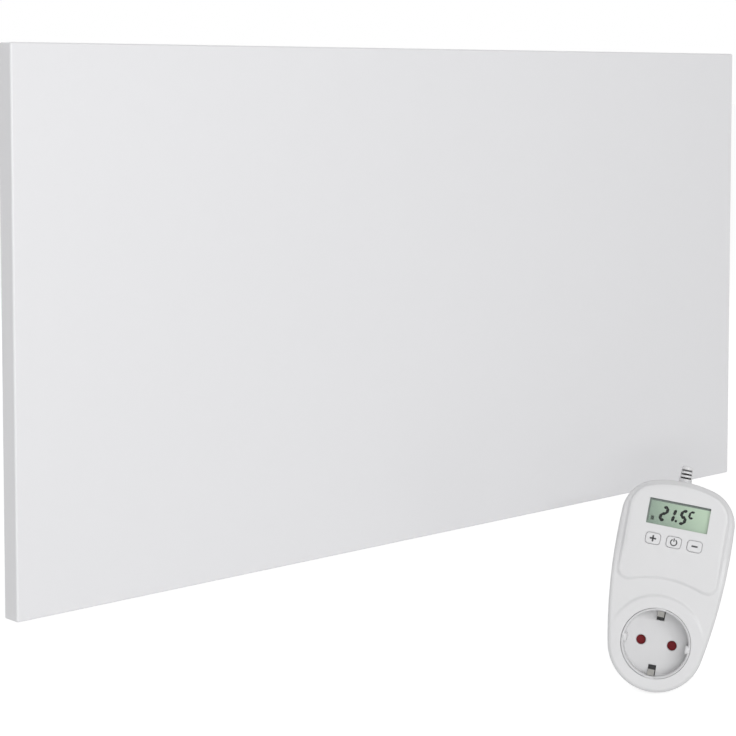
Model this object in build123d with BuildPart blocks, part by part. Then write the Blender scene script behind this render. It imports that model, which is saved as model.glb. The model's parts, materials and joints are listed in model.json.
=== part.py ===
from build123d import *
import os
from math import asin, atan2, cos, degrees, hypot, radians, sin, sqrt

# Infrared panel heater with its plug-in room thermostat, millimetres.
#
# Frame: the wall is the plane Y = 0 and the room is on the -Y side. X runs along the
# panel, Z is up, and the origin is the middle of the four wall keyholes.
# The thermostat stands by itself in front of the panel. It is drawn in its own
# plane: x to its right, y up its face, z out of the face, with the origin on the
# axis of its socket at the rim.

# ---------------------------------------------------------------- driving dimensions

# Panel casing
panel_width = 600.0
panel_height = 300.0
panel_depth = 11.5            # front face to the back of the folded lips
tray_sheet = 0.8              # steel of the folded front tray
bend_radius = 1.2             # outside radius of the tray's bends
lip_width = 10.0              # lips folded inwards behind the panel
mitre_gap = 0.5               # slit where two lips meet at a corner
cover_sheet = 0.6             # steel of the rear cover
cover_margin = 2.0            # cover edge to panel edge
cover_corner = 3.0
bead_length = 320.0           # stiffening beads pressed into the cover
bead_width = 12.0
bead_rise = 1.2
bead_heights = (75.0, 5.0)    # Z of each bead
stand_off = 20.0              # rear cover to wall

# Heating element, from the front sheet backwards
film_margin = 14.0            # panel edge to film edge
film_thickness = 0.3
strip_thickness = 0.2
strip_width = 13.0
strip_pitch = 20.0
strip_count = 28
busbar_width = 8.0
busbar_margin = 6.0           # film edge to busbar edge
foil_thickness = 0.3
mat_margin = 7.0              # tray wall to mat edge
mat_clearance = 0.8           # round a rivet tail
channel_width = 14.0          # lead channel through the mat

# Thermal cut-outs in the channel
cutout_radius = 8.0
cutout_height = 5.5
cutout_pocket = 1.5           # clearance round a cut-out
cutout_heights = (20.0, 72.0) # Z of each cut-out
tab_width = 4.8
tab_length = 6.0
tab_thickness = 0.8

# Hanging rails
rail_spacing = 400.0          # rail to rail
rail_length = 240.0
rail_sheet = 1.2
rail_crown = 22.0             # width of the face against the wall
rail_flange = 14.0
keyhole_spacing = 180.0       # entry hole to entry hole along a rail
keyhole_radius = 4.5
keyhole_slot_radius = 2.3
keyhole_slot_rise = 9.0
rivet_end_margin = 15.0

# Rivets and screws of the panel
rivet_radius = 1.6
rivet_head_radius = 3.2
rivet_head_height = 0.9
rivet_tail_length = 2.4
cover_screw_radius = 1.4
cover_screw_head_radius = 2.8
cover_screw_head_height = 1.7
cover_screw_length = 6.0
cover_screw_pitch = 176.0
hole_clearance = 0.1          # radial, round rivets and screws

# Junction box on the back
box_x = 100.0
box_z = -96.0
box_width = 92.0
box_height = 60.0
box_depth = 17.5              # rear cover to the outside of the lid
box_wall = 2.0
box_corner = 4.0
lid_thickness = 2.0
gasket_thickness = 0.8
gasket_width = 1.2
lid_post_radius = 3.6
lid_screw_radius = 1.45
lid_screw_head_radius = 2.7
lid_screw_length = 10.0
lid_screw_head_height = 1.5
grommet_x = 12.0              # from the middle of the box
grommet_z = 4.0
grommet_hole_radius = 9.0
grommet_wall = 1.6
grommet_flange = 2.0
terminal_x = -20.0            # from the middle of the box
terminal_pitch = 6.0
terminal_poles = 3
terminal_width = 18.0
terminal_height = 10.5
terminal_screw_radius = 1.9
earth_stud_x = 34.0           # from the middle of the box
earth_stud_z = 12.0
earth_stud_radius = 2.0
earth_stud_length = 8.0
earth_stud_pad_radius = 4.0
earth_nut_flats = 7.0
earth_nut_height = 3.2

# Cable gland in the bottom wall of the box
gland_x = 22.0                # from the middle of the box
gland_thread_radius = 5.0
gland_flats = 13.0
locknut_flats = 12.0
gland_hex_height = 4.5
gland_neck_length = 7.0
gland_cap_radius = 6.4
gland_cap_height = 11.0
gland_cap_tip_radius = 4.8
gland_bore_radius = 2.9
gland_cap_bore_radius = 3.4
gland_seal_radius = 4.1
gland_seal_length = 8.0
locknut_height = 3.0

# Wiring inside the panel
lead_radius = 1.1
lead_bend = 4.0
lead_pitch = 3.6              # side by side in the grommet

# Thermostat: where it stands
stand_x = 76.8                # socket axis at the rim
stand_gap = 115.9             # panel face to the same point
stand_drop = 208.6            # keyhole middle down to the same point
turn = 52.75                  # degrees from facing the room square on, towards -X
roll = 9.25                   # degrees clockwise, seen from the front

# Thermostat: outline
foot_radius = 29.0            # round foot about the socket axis
half_width = 34.8             # at the widest place
widest_height = 60.0          # socket axis to the widest place
crown_height = 98.9           # socket axis to the top
crown_radius = 70.0
shoulder_radius = 22.0

# Thermostat: shells
cover_depth = 12.0            # rim plane to the parting line
body_depth = 38.5             # rim plane to the back wall
shell_wall = 2.2
taper_inset = 6.5             # outline of the back wall against the parting line
nose_radius = 2.2             # rounding of the front edge
back_radius = 3.0
tongue_height = 1.5           # tongue of the rear housing inside the front cover
tongue_clearance = 0.15
ledge_depth = 2.4             # ledge round the raised face
dip_depth = 0.9               # dip between face and socket collar
dip_start = 4.0
dip_end = 34.0
ledge_start = 60.0
collar_radius = 28.2          # raised collar round the socket

# Thermostat: raised face
face_half_width = 29.4
face_bottom = 40.0
face_shoulder = 88.4
face_crown = 95.8
face_corner = 9.0
face_low_corner = 9.0
flank_side = 1.8              # how far the flank spreads at its foot, to the sides
flank_top = 1.2               # and upwards

# Thermostat: display and buttons
display_height = 78.0         # centre
window_width = 37.4
window_tall = 15.6
window_sink = 0.9             # window below the face
window_thickness = 1.2
window_flange = 1.6
window_flange_thickness = 0.8
fit_gap = 0.15                # between a window, button guide or insert and its opening
glass_width = 40.0
glass_tall = 18.4
glass_thickness = 2.4
button_height = 61.5          # centre
button_pitch = 12.7
button_width = 9.0
button_tall = 6.8
button_corner = 2.0
button_proud = 0.9
button_gap = 0.3              # round a button in its opening
button_flange = 1.1
button_flange_thickness = 1.0
button_travel = 0.6
button_stem = 1.8             # radius
seat_gap = 0.1                # button flange below the roof of the cover
board_thickness = 1.6
holder_wall = 1.2
connector_width = 1.6
board_half_width = 20.6
board_bottom = 50.0
board_top = 92.0
board_depth = 11.6            # rim plane to the front of the control board
switch_size = 6.0
switch_height = 3.0
plunger_radius = 1.7
plunger_height = 0.5

# Thermostat: socket
rim_radius = 21.0
rim_chamfer = 0.8
well_wall = 1.4
well_depth = 16.0             # rim plane to the floor
well_floor = 2.2
pin_pitch = 19.0
pin_hole_radius = 2.9
pin_hole_lead_in = 0.5
key_width = 4.6               # guide ribs left and right in the well
key_rise = 1.8
clip_slot_width = 4.8
clip_width = 4.0
clip_sheet = 0.8
clip_reach = 16.4             # tip of the earth clip from the axis
clip_entry = 2.6              # first bend below the rim
clip_tip = 7.0                # tip below the rim
clip_exit = 12.5              # last bend below the rim
strap_radius = 22.6           # strap outside the well
clip_slot_start = 1.5         # rim to the top of the clip slots
clip_floor_reach = 14.2       # inner end of the slots in the floor, from the axis

# Thermostat: safety shutter behind the floor of the well
pivot_radius = 2.0
pivot_clearance = 0.05
shutter_gap = 0.3             # shutter to floor and to retainer
shutter_thickness = 2.2
shutter_hub_radius = 4.4
shutter_outer = 13.6
shutter_half_angle = 21.0      # degrees either side of a pin hole
shutter_open = 46.0           # degrees
retainer_thickness = 1.4
retainer_radius = 17.5
post_radius = 1.6             # posts that carry the retainer
post_place = 15.6
post_angle = 62.0             # degrees from the pin axis
stop_radius = 1.2             # stops for the shutter
stop_place = 10.0
stop_gap = 0.5                # degrees
spring_wire = 0.25            # radius
spring_radius = 3.2
spring_turns = 2
spring_pitch = 0.6
spring_clearance = 0.3

# Thermostat: contacts and plug
sleeve_bore = 2.35            # radius, a little under the pin's
sleeve_wall = 0.7
sleeve_slit = 0.8
sleeve_gap = 0.9              # retainer to the contact sleeves
boss_radius = 18.5
boss_length = 17.5
pin_radius = 2.4
pin_length = 19.0
pin_tip_radius = 1.4
pin_shank_radius = 2.8        # where the pin is moulded into the boss
pin_collar = 0.4              # how far the shank shows, as a coned collar
pin_root_radius = 4.0
pin_root_length = 1.2
earth_groove_width = 6.0
earth_groove_depth = 2.6
earth_blade_width = 4.4
earth_blade_sheet = 0.8
earth_blade_length = 14.0
key_groove_width = 5.0
key_groove_depth = 2.4

# Thermostat: electronics and fixings
power_board_bottom = 32.0
power_board_top = 86.0
power_board_half_width = 20.0
power_board_lift = 2.0        # back wall to board
relay_size = (29.0, 12.8, 15.8)
relay_place = (-3.0, 42.0)
capacitor_size = (18.0, 8.0, 13.0)
capacitor_place = (6.0, 57.0)
can_radius = 5.0
can_height = 12.0
can_place = (-12.0, 60.0)
column_radius = 3.4
column_places = ((22.5, 24.0), (24.6, 66.0))
column_bore = 1.6
counterbore_radius = 2.9
counterbore_depth = 17.0
case_screw_radius = 1.3
case_screw_head_radius = 2.6
case_screw_head_height = 1.8
case_screw_length = 15.0
boss_roof_gap = 0.3
board_post_radius = 2.0
board_post_places = ((17.5, 53.5), (17.5, 89.8))
power_post_places = ((17.0, 36.0), (17.0, 82.0))
link_size = (12.0, 2.5)
link_place = (0.0, 75.0)

# Thermostat: sensor hood on top
hood_base_radius = 4.8
hood_tip_radius = 3.2
hood_tip = 109.2              # its top, from the socket axis
hood_depth = 19.5             # its axis, from the rim plane
hood_wall = 1.0
hood_slot_height = 1.1
hood_slot_pitch = 2.35
hood_slot_count = 3
hood_flange_radius = 6.0
hood_flange_height = 1.0
sensor_radius = 1.5
sensor_wire_radius = 0.35
sensor_wire_pitch = 1.3

# ---------------------------------------------------------------- derived places

cover_back = -stand_off
tray_back = cover_back - cover_sheet
panel_front = tray_back - panel_depth
film_front = panel_front + tray_sheet
strips_front = film_front + film_thickness
overlay_front = strips_front + strip_thickness
foil_front = overlay_front + film_thickness
mat_front = foil_front + foil_thickness
mat_back = tray_back - tray_sheet

film_width = panel_width - 2 * film_margin
film_height = panel_height - 2 * film_margin
busbar_z = film_height / 2 - busbar_margin - busbar_width / 2
mat_width = panel_width - 2 * (tray_sheet + mat_margin)
mat_height = panel_height - 2 * (tray_sheet + mat_margin)
grommet_at = (box_x + grommet_x, box_z + grommet_z)

lean = degrees(atan2(foot_radius - boss_radius, body_depth + boss_length - cover_depth))


def facing(y):
    """Plane parallel to the wall at depth y: x along the panel, y up, z to the room."""
    return Plane.XZ.offset(-y)


def level(z):
    """Horizontal plane at height z."""
    return Plane.XY.offset(z)


def finish(builder, name):
    """Label a finished piece and write it."""
    builder.part.label = name
    export_step(builder.part, f"parts/{name}.step")


os.makedirs("parts", exist_ok=True)

# ---------------------------------------------------------------- panel casing

cover_width = panel_width - 2 * cover_margin
cover_height = panel_height - 2 * cover_margin
lip_centre_x = panel_width / 2 - lip_width / 2
lip_centre_z = panel_height / 2 - lip_width / 2
mitre_start = bend_radius + mitre_gap
mitre_end = lip_width + mitre_gap
mitre_middle = (mitre_start + mitre_end) / 2
cover_screw_places = [
    (column * cover_screw_pitch, side * lip_centre_z)
    for side in (-1, 1)
    for column in (-1.5, -0.5, 0.5, 1.5)
] + [(side * lip_centre_x, 0) for side in (-1, 1)]

# Front tray: one sheet folded back at the edges, then in again as lips.
with BuildPart() as front_panel:
    with BuildSketch(facing(tray_back)):
        Rectangle(panel_width, panel_height)
    extrude(amount=panel_depth)
    fillet(front_panel.edges().filter_by(Axis.Y), bend_radius)
    fillet(front_panel.faces().sort_by(Axis.Y)[0].edges(), bend_radius)
    with BuildSketch(facing(tray_back - tray_sheet)):
        Rectangle(panel_width - 2 * tray_sheet, panel_height - 2 * tray_sheet)
    extrude(amount=panel_depth - 2 * tray_sheet, mode=Mode.SUBTRACT)
    with BuildSketch(facing(tray_back)):
        Rectangle(panel_width - 2 * lip_width, panel_height - 2 * lip_width)
        with Locations(*cover_screw_places):
            Circle(cover_screw_radius + hole_clearance)
        for side_x in (-1, 1):
            for side_z in (-1, 1):
                with Locations((
                    side_x * (panel_width / 2 - mitre_middle),
                    side_z * (panel_height / 2 - mitre_middle),
                )):
                    Rectangle(
                        (mitre_end - mitre_start) * sqrt(2), mitre_gap,
                        rotation=45 * side_x * side_z,
                    )
    extrude(amount=tray_sheet, mode=Mode.SUBTRACT)
finish(front_panel, "front_panel")

# Rear cover: flat sheet behind the lips with two pressed beads.
rail_x = [-rail_spacing / 2, rail_spacing / 2]
rail_flange_centre = rail_crown / 2 + rail_flange / 2
rail_rivet_z = rail_length / 2 - rivet_end_margin
rivet_places = [
    (x + side * rail_flange_centre, end * rail_rivet_z)
    for x in rail_x
    for side in (-1, 1)
    for end in (-1, 1)
]
box_rivet_places = [
    (box_x + side * (box_width / 2 - 2 * lid_post_radius - 3 * box_wall), box_z - box_height / 3)
    for side in (-1, 1)
]
earth_stud_at = (box_x + earth_stud_x, box_z + earth_stud_z)

with BuildPart() as rear_cover:
    with BuildSketch(facing(cover_back)):
        RectangleRounded(cover_width, cover_height, cover_corner)
    extrude(amount=cover_sheet)
    with BuildSketch(facing(cover_back)):
        with Locations(*[(0, z) for z in bead_heights]):
            SlotOverall(bead_length, bead_width)
    extrude(amount=-bead_rise)
    with BuildSketch(facing(tray_back)):
        with Locations(*[(0, z) for z in bead_heights]):
            SlotOverall(bead_length - 2 * cover_sheet, bead_width - 2 * cover_sheet)
    extrude(amount=-bead_rise, mode=Mode.SUBTRACT)
    with BuildSketch(facing(cover_back)):
        with Locations(*cover_screw_places):
            Circle(cover_screw_radius + hole_clearance)
        with Locations(*rivet_places, *box_rivet_places):
            Circle(rivet_radius + hole_clearance)
        with Locations(grommet_at):
            Circle(grommet_hole_radius)
    extrude(amount=cover_sheet, mode=Mode.SUBTRACT)
finish(rear_cover, "rear_cover")

# Pan-head screws through the cover into the lips.
with BuildPart() as cover_screws:
    with BuildSketch(facing(cover_back)):
        with Locations(*cover_screw_places):
            Circle(cover_screw_head_radius)
    extrude(amount=-cover_screw_head_height)
    chamfer(cover_screws.faces().filter_by(Axis.Y).sort_by(Axis.Y)[-len(cover_screw_places):].edges(),
            cover_screw_head_height / 2)
    with BuildSketch(facing(cover_back)):
        with Locations(*cover_screw_places):
            Circle(cover_screw_radius)
    extrude(amount=cover_screw_length)
finish(cover_screws, "cover_screws")

# ---------------------------------------------------------------- heating element

strips_x = [(i - (strip_count - 1) / 2) * strip_pitch for i in range(strip_count)]
pad_places = [(grommet_at[0], busbar_z), (grommet_at[0], -busbar_z)]
strip_length = 2 * busbar_z - busbar_width

with BuildPart() as heating_film:
    with BuildSketch(facing(film_front)):
        RectangleRounded(film_width, film_height, cover_corner)
    extrude(amount=-film_thickness)
finish(heating_film, "heating_film")

with BuildPart() as carbon_strips:
    with BuildSketch(facing(strips_front)):
        with Locations(*[(x, 0) for x in strips_x]):
            Rectangle(strip_width, strip_length)
    extrude(amount=-strip_thickness)
finish(carbon_strips, "carbon_strips")

with BuildPart() as busbars:
    with BuildSketch(facing(strips_front)):
        with Locations((0, busbar_z), (0, -busbar_z)):
            Rectangle(film_width - 2 * busbar_margin, busbar_width)
    extrude(amount=-strip_thickness)
finish(busbars, "busbars")

with BuildPart() as film_overlay:
    with BuildSketch(facing(overlay_front)):
        RectangleRounded(film_width, film_height, cover_corner)
        with Locations(*pad_places):
            Rectangle(channel_width, busbar_width, mode=Mode.SUBTRACT)
    extrude(amount=-film_thickness)
finish(film_overlay, "film_overlay")


def channel_sketch():
    """Cut the lead channel and the cut-out pockets out of the sheet being drawn."""
    channel_top = busbar_z + busbar_width
    with Locations((grommet_at[0], 0)):
        RectangleRounded(channel_width, 2 * channel_top, channel_width / 4, mode=Mode.SUBTRACT)
    with Locations(*[(grommet_at[0], z) for z in cutout_heights]):
        Circle(cutout_radius + cutout_pocket, mode=Mode.SUBTRACT)


with BuildPart() as reflector_foil:
    with BuildSketch(facing(foil_front)):
        RectangleRounded(mat_width, mat_height, cover_corner)
        channel_sketch()
    extrude(amount=-foil_thickness)
finish(reflector_foil, "reflector_foil")

with BuildPart() as insulation_mat:
    with BuildSketch(facing(mat_front)):
        RectangleRounded(mat_width, mat_height, cover_corner)
        channel_sketch()
        with Locations(*rivet_places, *box_rivet_places):
            Circle(rivet_radius + mat_clearance, mode=Mode.SUBTRACT)
    extrude(amount=mat_front - mat_back)
finish(insulation_mat, "insulation_mat")

# Snap-disc cut-outs stand on the film, with a tab at each end for the leads.
with BuildPart() as thermal_cutouts:
    with BuildSketch(facing(foil_front)):
        with Locations(*[(grommet_at[0], z) for z in cutout_heights]):
            Circle(cutout_radius)
    extrude(amount=-cutout_height)
    tab_front = foil_front + cutout_height - 2 * tab_thickness
    with BuildSketch(facing(tab_front)):
        with Locations(*[(grommet_at[0], z) for z in cutout_heights]):
            Rectangle(tab_width, 2 * (cutout_radius + tab_length))
    extrude(amount=-tab_thickness)
finish(thermal_cutouts, "thermal_cutouts")

# ---------------------------------------------------------------- hanging rails


def hat_rail(x):
    """Hat-section rail at x: flanges on the cover, crown with keyholes on the wall."""
    with BuildPart() as rail:
        with BuildSketch(level(-rail_length / 2)):
            with Locations((x, cover_back + rail_sheet / 2)):
                Rectangle(rail_crown + 2 * rail_flange, rail_sheet)
            with Locations((x, cover_back / 2)):
                Rectangle(rail_crown, stand_off)
            with Locations((x, (cover_back - rail_sheet) / 2)):
                Rectangle(rail_crown - 2 * rail_sheet, stand_off - rail_sheet, mode=Mode.SUBTRACT)
        extrude(amount=rail_length)
        crown_edges = rail.edges().filter_by(Axis.Z).group_by(Axis.Y)[-1]
        fillet(crown_edges, rail_sheet)
        with BuildSketch(facing(0)):
            for end in (-1, 1):
                entry = end * keyhole_spacing / 2
                with Locations((x, entry)):
                    Circle(keyhole_radius)
                with Locations((x, entry + keyhole_slot_rise / 2)):
                    Rectangle(2 * keyhole_slot_radius, keyhole_slot_rise)
                with Locations((x, entry + keyhole_slot_rise)):
                    Circle(keyhole_slot_radius)
        extrude(amount=rail_sheet, mode=Mode.SUBTRACT)
        with BuildSketch(facing(cover_back + rail_sheet)):
            with Locations(*[place for place in rivet_places if abs(place[0] - x) < rail_crown * 2]):
                Circle(rivet_radius + hole_clearance)
        extrude(amount=rail_sheet, mode=Mode.SUBTRACT)
    return rail


finish(hat_rail(rail_x[0]), "hanging_rail_left")
finish(hat_rail(rail_x[1]), "hanging_rail_right")


def rivets(places, head_seat):
    """Add a group of blind rivets whose heads sit at head_seat."""
    with BuildSketch(facing(head_seat)) as heads:
        with Locations(*places):
            Circle(rivet_head_radius)
    extrude(heads.sketch, amount=-rivet_head_height)
    with BuildSketch(facing(head_seat)) as shanks:
        with Locations(*places):
            Circle(rivet_radius)
    extrude(shanks.sketch, amount=head_seat - tray_back + rivet_tail_length)


with BuildPart() as blind_rivets:
    rivets(rivet_places, cover_back + rail_sheet)
    rivets(box_rivet_places, cover_back + box_wall)
finish(blind_rivets, "blind_rivets")

# ---------------------------------------------------------------- junction box

box_back = cover_back + box_depth
lid_front = box_back - lid_thickness
rim_back = lid_front - gasket_thickness
post_x = box_width / 2 - lid_post_radius
post_z = box_height / 2 - lid_post_radius
post_places = [(box_x + i * post_x, box_z + j * post_z) for i in (-1, 1) for j in (-1, 1)]
gland_at = (box_x + gland_x, (cover_back + box_wall + rim_back) / 2)
box_bottom = box_z - box_height / 2


def down(z, y_shift=0.0):
    """Plane across the gland's axis at height z, looking down: z of the plane is -Z."""
    return Plane(origin=(gland_at[0], gland_at[1] + y_shift, z), x_dir=(1, 0, 0), z_dir=(0, 0, -1))


with BuildPart() as junction_box:
    with BuildSketch(facing(cover_back)):
        with Locations((box_x, box_z)):
            RectangleRounded(box_width, box_height, box_corner)
    extrude(amount=cover_back - rim_back)
    with BuildSketch(facing(cover_back + box_wall)):
        with Locations((box_x, box_z)):
            RectangleRounded(
                box_width - 2 * box_wall, box_height - 2 * box_wall, box_corner - box_wall)
        with Locations(*post_places):
            Circle(lid_post_radius, mode=Mode.SUBTRACT)
    extrude(amount=cover_back + box_wall - rim_back, mode=Mode.SUBTRACT)
    with BuildSketch(facing(rim_back)):
        with Locations(*post_places):
            Circle(lid_screw_radius + hole_clearance)
    extrude(amount=lid_screw_length, mode=Mode.SUBTRACT)
    with BuildSketch(facing(cover_back)):
        with Locations(grommet_at):
            Circle(grommet_hole_radius)
        with Locations(*box_rivet_places):
            Circle(rivet_radius + hole_clearance)
        with Locations(earth_stud_at):
            Circle(earth_stud_pad_radius + hole_clearance)
    extrude(amount=-box_wall, mode=Mode.SUBTRACT)
    with BuildSketch(down(box_bottom + box_wall)):
        Circle(gland_thread_radius + hole_clearance)
    extrude(amount=box_wall, mode=Mode.SUBTRACT)
finish(junction_box, "junction_box")

with BuildPart() as lid_gasket:
    with BuildSketch(facing(rim_back)):
        with Locations((box_x, box_z)):
            RectangleRounded(box_width, box_height, box_corner)
            RectangleRounded(
                box_width - 2 * gasket_width, box_height - 2 * gasket_width,
                box_corner - gasket_width, mode=Mode.SUBTRACT)
    extrude(amount=-gasket_thickness)
finish(lid_gasket, "lid_gasket")

with BuildPart() as junction_box_lid:
    with BuildSketch(facing(lid_front)):
        with Locations((box_x, box_z)):
            RectangleRounded(box_width, box_height, box_corner)
    extrude(amount=-lid_thickness)
    chamfer(junction_box_lid.faces().sort_by(Axis.Y)[-1].edges(), lid_thickness / 3)
    with BuildSketch(facing(lid_front)):
        with Locations(*post_places):
            Circle(lid_post_radius - gasket_width - 2 * hole_clearance)
    extrude(amount=gasket_thickness)
    with BuildSketch(facing(box_back)):
        with Locations(*post_places):
            Circle(lid_screw_radius + hole_clearance)
    extrude(amount=lid_thickness + gasket_thickness, mode=Mode.SUBTRACT)
    with BuildSketch(facing(box_back)):
        with Locations(*post_places):
            Circle(lid_screw_head_radius + hole_clearance)
    extrude(amount=lid_screw_head_height, mode=Mode.SUBTRACT)
finish(junction_box_lid, "junction_box_lid")

with BuildPart() as lid_screws:
    with BuildSketch(facing(box_back)):
        with Locations(*post_places):
            Circle(lid_screw_head_radius)
    extrude(amount=lid_screw_head_height)
    with BuildSketch(facing(box_back)):
        with Locations(*post_places):
            Circle(lid_screw_radius)
    extrude(amount=lid_screw_length)
finish(lid_screws, "lid_screws")

# Rubber grommet where the leads pass from the box into the panel.
with BuildPart() as wire_grommet:
    grommet_back = cover_back + box_wall
    with BuildSketch(facing(grommet_back)):
        with Locations(grommet_at):
            Circle(grommet_hole_radius)
    extrude(amount=grommet_back - tray_back)
    with BuildSketch(facing(grommet_back)):
        with Locations(grommet_at):
            Circle(grommet_hole_radius + grommet_flange)
    extrude(amount=-grommet_wall)
    with BuildSketch(facing(grommet_back + grommet_wall)):
        with Locations(grommet_at):
            Circle(grommet_hole_radius - grommet_wall)
    extrude(amount=grommet_back + grommet_wall - tray_back, mode=Mode.SUBTRACT)
finish(wire_grommet, "wire_grommet")

# Three-pole terminal strip with a wire hole from each side.
terminal_centre = (box_x + terminal_x, box_z + grommet_z)
terminal_back = cover_back + box_wall + terminal_height
terminal_wire_y = cover_back + box_wall + terminal_height / 2
poles_z = [
    terminal_centre[1] + (i - (terminal_poles - 1) / 2) * terminal_pitch
    for i in range(terminal_poles)
]

with BuildPart() as terminal_block:
    with BuildSketch(facing(cover_back + box_wall)):
        with Locations(terminal_centre):
            Rectangle(terminal_width, terminal_poles * terminal_pitch + tray_sheet)
        for z in [(a + b) / 2 for a, b in zip(poles_z, poles_z[1:])]:
            for side in (-1, 1):
                with Locations((terminal_centre[0] + side * terminal_width / 2, z)):
                    Rectangle(terminal_pitch / 2, tray_sheet, mode=Mode.SUBTRACT)
    extrude(amount=-terminal_height)
    with BuildSketch(facing(terminal_back)):
        with Locations(*[(terminal_centre[0] + i * terminal_pitch / 2, z)
                         for z in poles_z for i in (-1, 1)]):
            Circle(terminal_screw_radius + hole_clearance)
    extrude(amount=terminal_height / 3, mode=Mode.SUBTRACT)
    with BuildSketch(Plane.YZ.offset(terminal_centre[0])):
        with Locations(*[(terminal_wire_y, z) for z in poles_z]):
            Circle(lead_radius + hole_clearance)
    extrude(amount=terminal_width / 2, both=True, mode=Mode.SUBTRACT)
finish(terminal_block, "terminal_block")

with BuildPart() as terminal_screws:
    with BuildSketch(facing(terminal_back - terminal_height / 3)):
        with Locations(*[(terminal_centre[0] + i * terminal_pitch / 2, z)
                         for z in poles_z for i in (-1, 1)]):
            Circle(terminal_screw_radius)
    extrude(amount=-terminal_height / 4)
finish(terminal_screws, "terminal_screws")

# Earth stud on the cover, with its nut and the lug of the earth lead.
with BuildPart() as earth_stud:
    with BuildSketch(facing(cover_back)):
        with Locations(earth_stud_at):
            Circle(earth_stud_pad_radius)
    extrude(amount=-box_wall)
    with BuildSketch(facing(cover_back)):
        with Locations(earth_stud_at):
            Circle(earth_stud_radius)
    extrude(amount=-earth_stud_length)
finish(earth_stud, "earth_stud")

lug_seat = cover_back + box_wall
with BuildPart() as earth_nut:
    with BuildSketch(facing(lug_seat + tab_thickness)):
        with Locations(earth_stud_at):
            RegularPolygon(earth_nut_flats / 2, 6, major_radius=False)
            Circle(earth_stud_radius + hole_clearance, mode=Mode.SUBTRACT)
    extrude(amount=-earth_nut_height)
finish(earth_nut, "earth_nut")

# ---------------------------------------------------------------- cable gland

cap_seat = box_bottom - gland_hex_height
neck_end = cap_seat - gland_neck_length

with BuildPart() as gland_body:
    with BuildSketch(down(box_bottom + box_wall + locknut_height)):
        Circle(gland_thread_radius)
    extrude(amount=box_wall + locknut_height)
    with BuildSketch(down(box_bottom)):
        RegularPolygon(gland_flats / 2, 6, major_radius=False)
    extrude(amount=gland_hex_height)
    with BuildSketch(down(cap_seat)):
        Circle(gland_thread_radius)
    extrude(amount=gland_neck_length)
    with BuildSketch(down(box_bottom + box_wall + locknut_height)):
        Circle(gland_bore_radius + grommet_wall / 2)
    extrude(amount=box_wall + locknut_height + gland_hex_height + gland_neck_length,
            mode=Mode.SUBTRACT)
    with BuildSketch(down(neck_end + gland_seal_length)):
        Circle(gland_seal_radius)
    extrude(amount=gland_seal_length, mode=Mode.SUBTRACT)
finish(gland_body, "gland_body")

with BuildPart() as gland_seal:
    with BuildSketch(down(neck_end + gland_seal_length)):
        Circle(gland_seal_radius - hole_clearance)
        Circle(gland_bore_radius, mode=Mode.SUBTRACT)
    extrude(amount=gland_seal_length)
finish(gland_seal, "gland_seal")

with BuildPart() as gland_cap:
    with BuildSketch(down(cap_seat)):
        Circle(gland_cap_radius)
    with BuildSketch(down(cap_seat - gland_cap_height)):
        Circle(gland_cap_tip_radius)
    loft()
    fillet(gland_cap.faces().sort_by(Axis.Z)[0].edges(), grommet_wall)
    with BuildSketch(down(cap_seat)):
        Circle(gland_thread_radius + hole_clearance)
    extrude(amount=gland_neck_length, mode=Mode.SUBTRACT)
    with BuildSketch(down(cap_seat)):
        Circle(gland_cap_bore_radius)
    extrude(amount=gland_cap_height, mode=Mode.SUBTRACT)
finish(gland_cap, "gland_cap")

with BuildPart() as gland_locknut:
    with BuildSketch(down(box_bottom + box_wall + locknut_height)):
        RegularPolygon(locknut_flats / 2, 6, major_radius=False)
        Circle(gland_thread_radius + hole_clearance, mode=Mode.SUBTRACT)
    extrude(amount=locknut_height)
finish(gland_locknut, "gland_locknut")

# ---------------------------------------------------------------- leads inside the panel

channel_y = foil_front + cutout_height - 2 * tab_thickness + tab_thickness / 2
terminal_side = terminal_centre[0] + terminal_width / 2
lead_end_x = terminal_side - terminal_pitch / 2


def lead(points, bend=lead_bend):
    """Insulated lead along points, with a round section and one bend radius."""
    with BuildLine() as route:
        FilletPolyline(*points, radius=bend)
    with BuildSketch(Plane(route.line @ 0, z_dir=route.line % 0)) as section:
        Circle(lead_radius)
    sweep(section.sketch, path=route.line)


first_cutout, second_cutout = min(cutout_heights), max(cutout_heights)
tab_reach = cutout_radius + tab_length
live_x = grommet_at[0]
neutral_x = grommet_at[0] + lead_pitch
pad_y = foil_front + lead_radius + hole_clearance

# Live goes up the channel to the first cut-out.
with BuildPart() as live_lead:
    lead([
        (lead_end_x, terminal_wire_y, poles_z[2]),
        (live_x, terminal_wire_y, poles_z[2]),
        (live_x, channel_y, poles_z[2]),
        (live_x, channel_y, first_cutout - tab_reach),
    ])
finish(live_lead, "live_lead")

# Neutral goes down the channel to the lower busbar.
with BuildPart() as neutral_lead:
    lead([
        (lead_end_x, terminal_wire_y, poles_z[1]),
        (neutral_x, terminal_wire_y, poles_z[1]),
        (neutral_x, channel_y, poles_z[1]),
        (neutral_x, channel_y, -busbar_z),
    ])
finish(neutral_lead, "neutral_lead")

# Links join the cut-outs to each other and to the upper busbar.
with BuildPart() as link_leads:
    with BuildSketch(level(first_cutout + tab_reach)):
        with Locations((live_x, channel_y)):
            Circle(lead_radius)
    extrude(amount=second_cutout - first_cutout - 2 * tab_reach)
    with BuildSketch(level(second_cutout + tab_reach)):
        with Locations((live_x, channel_y)):
            Circle(lead_radius)
    extrude(amount=busbar_z - second_cutout - tab_reach)
finish(link_leads, "link_leads")

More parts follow.
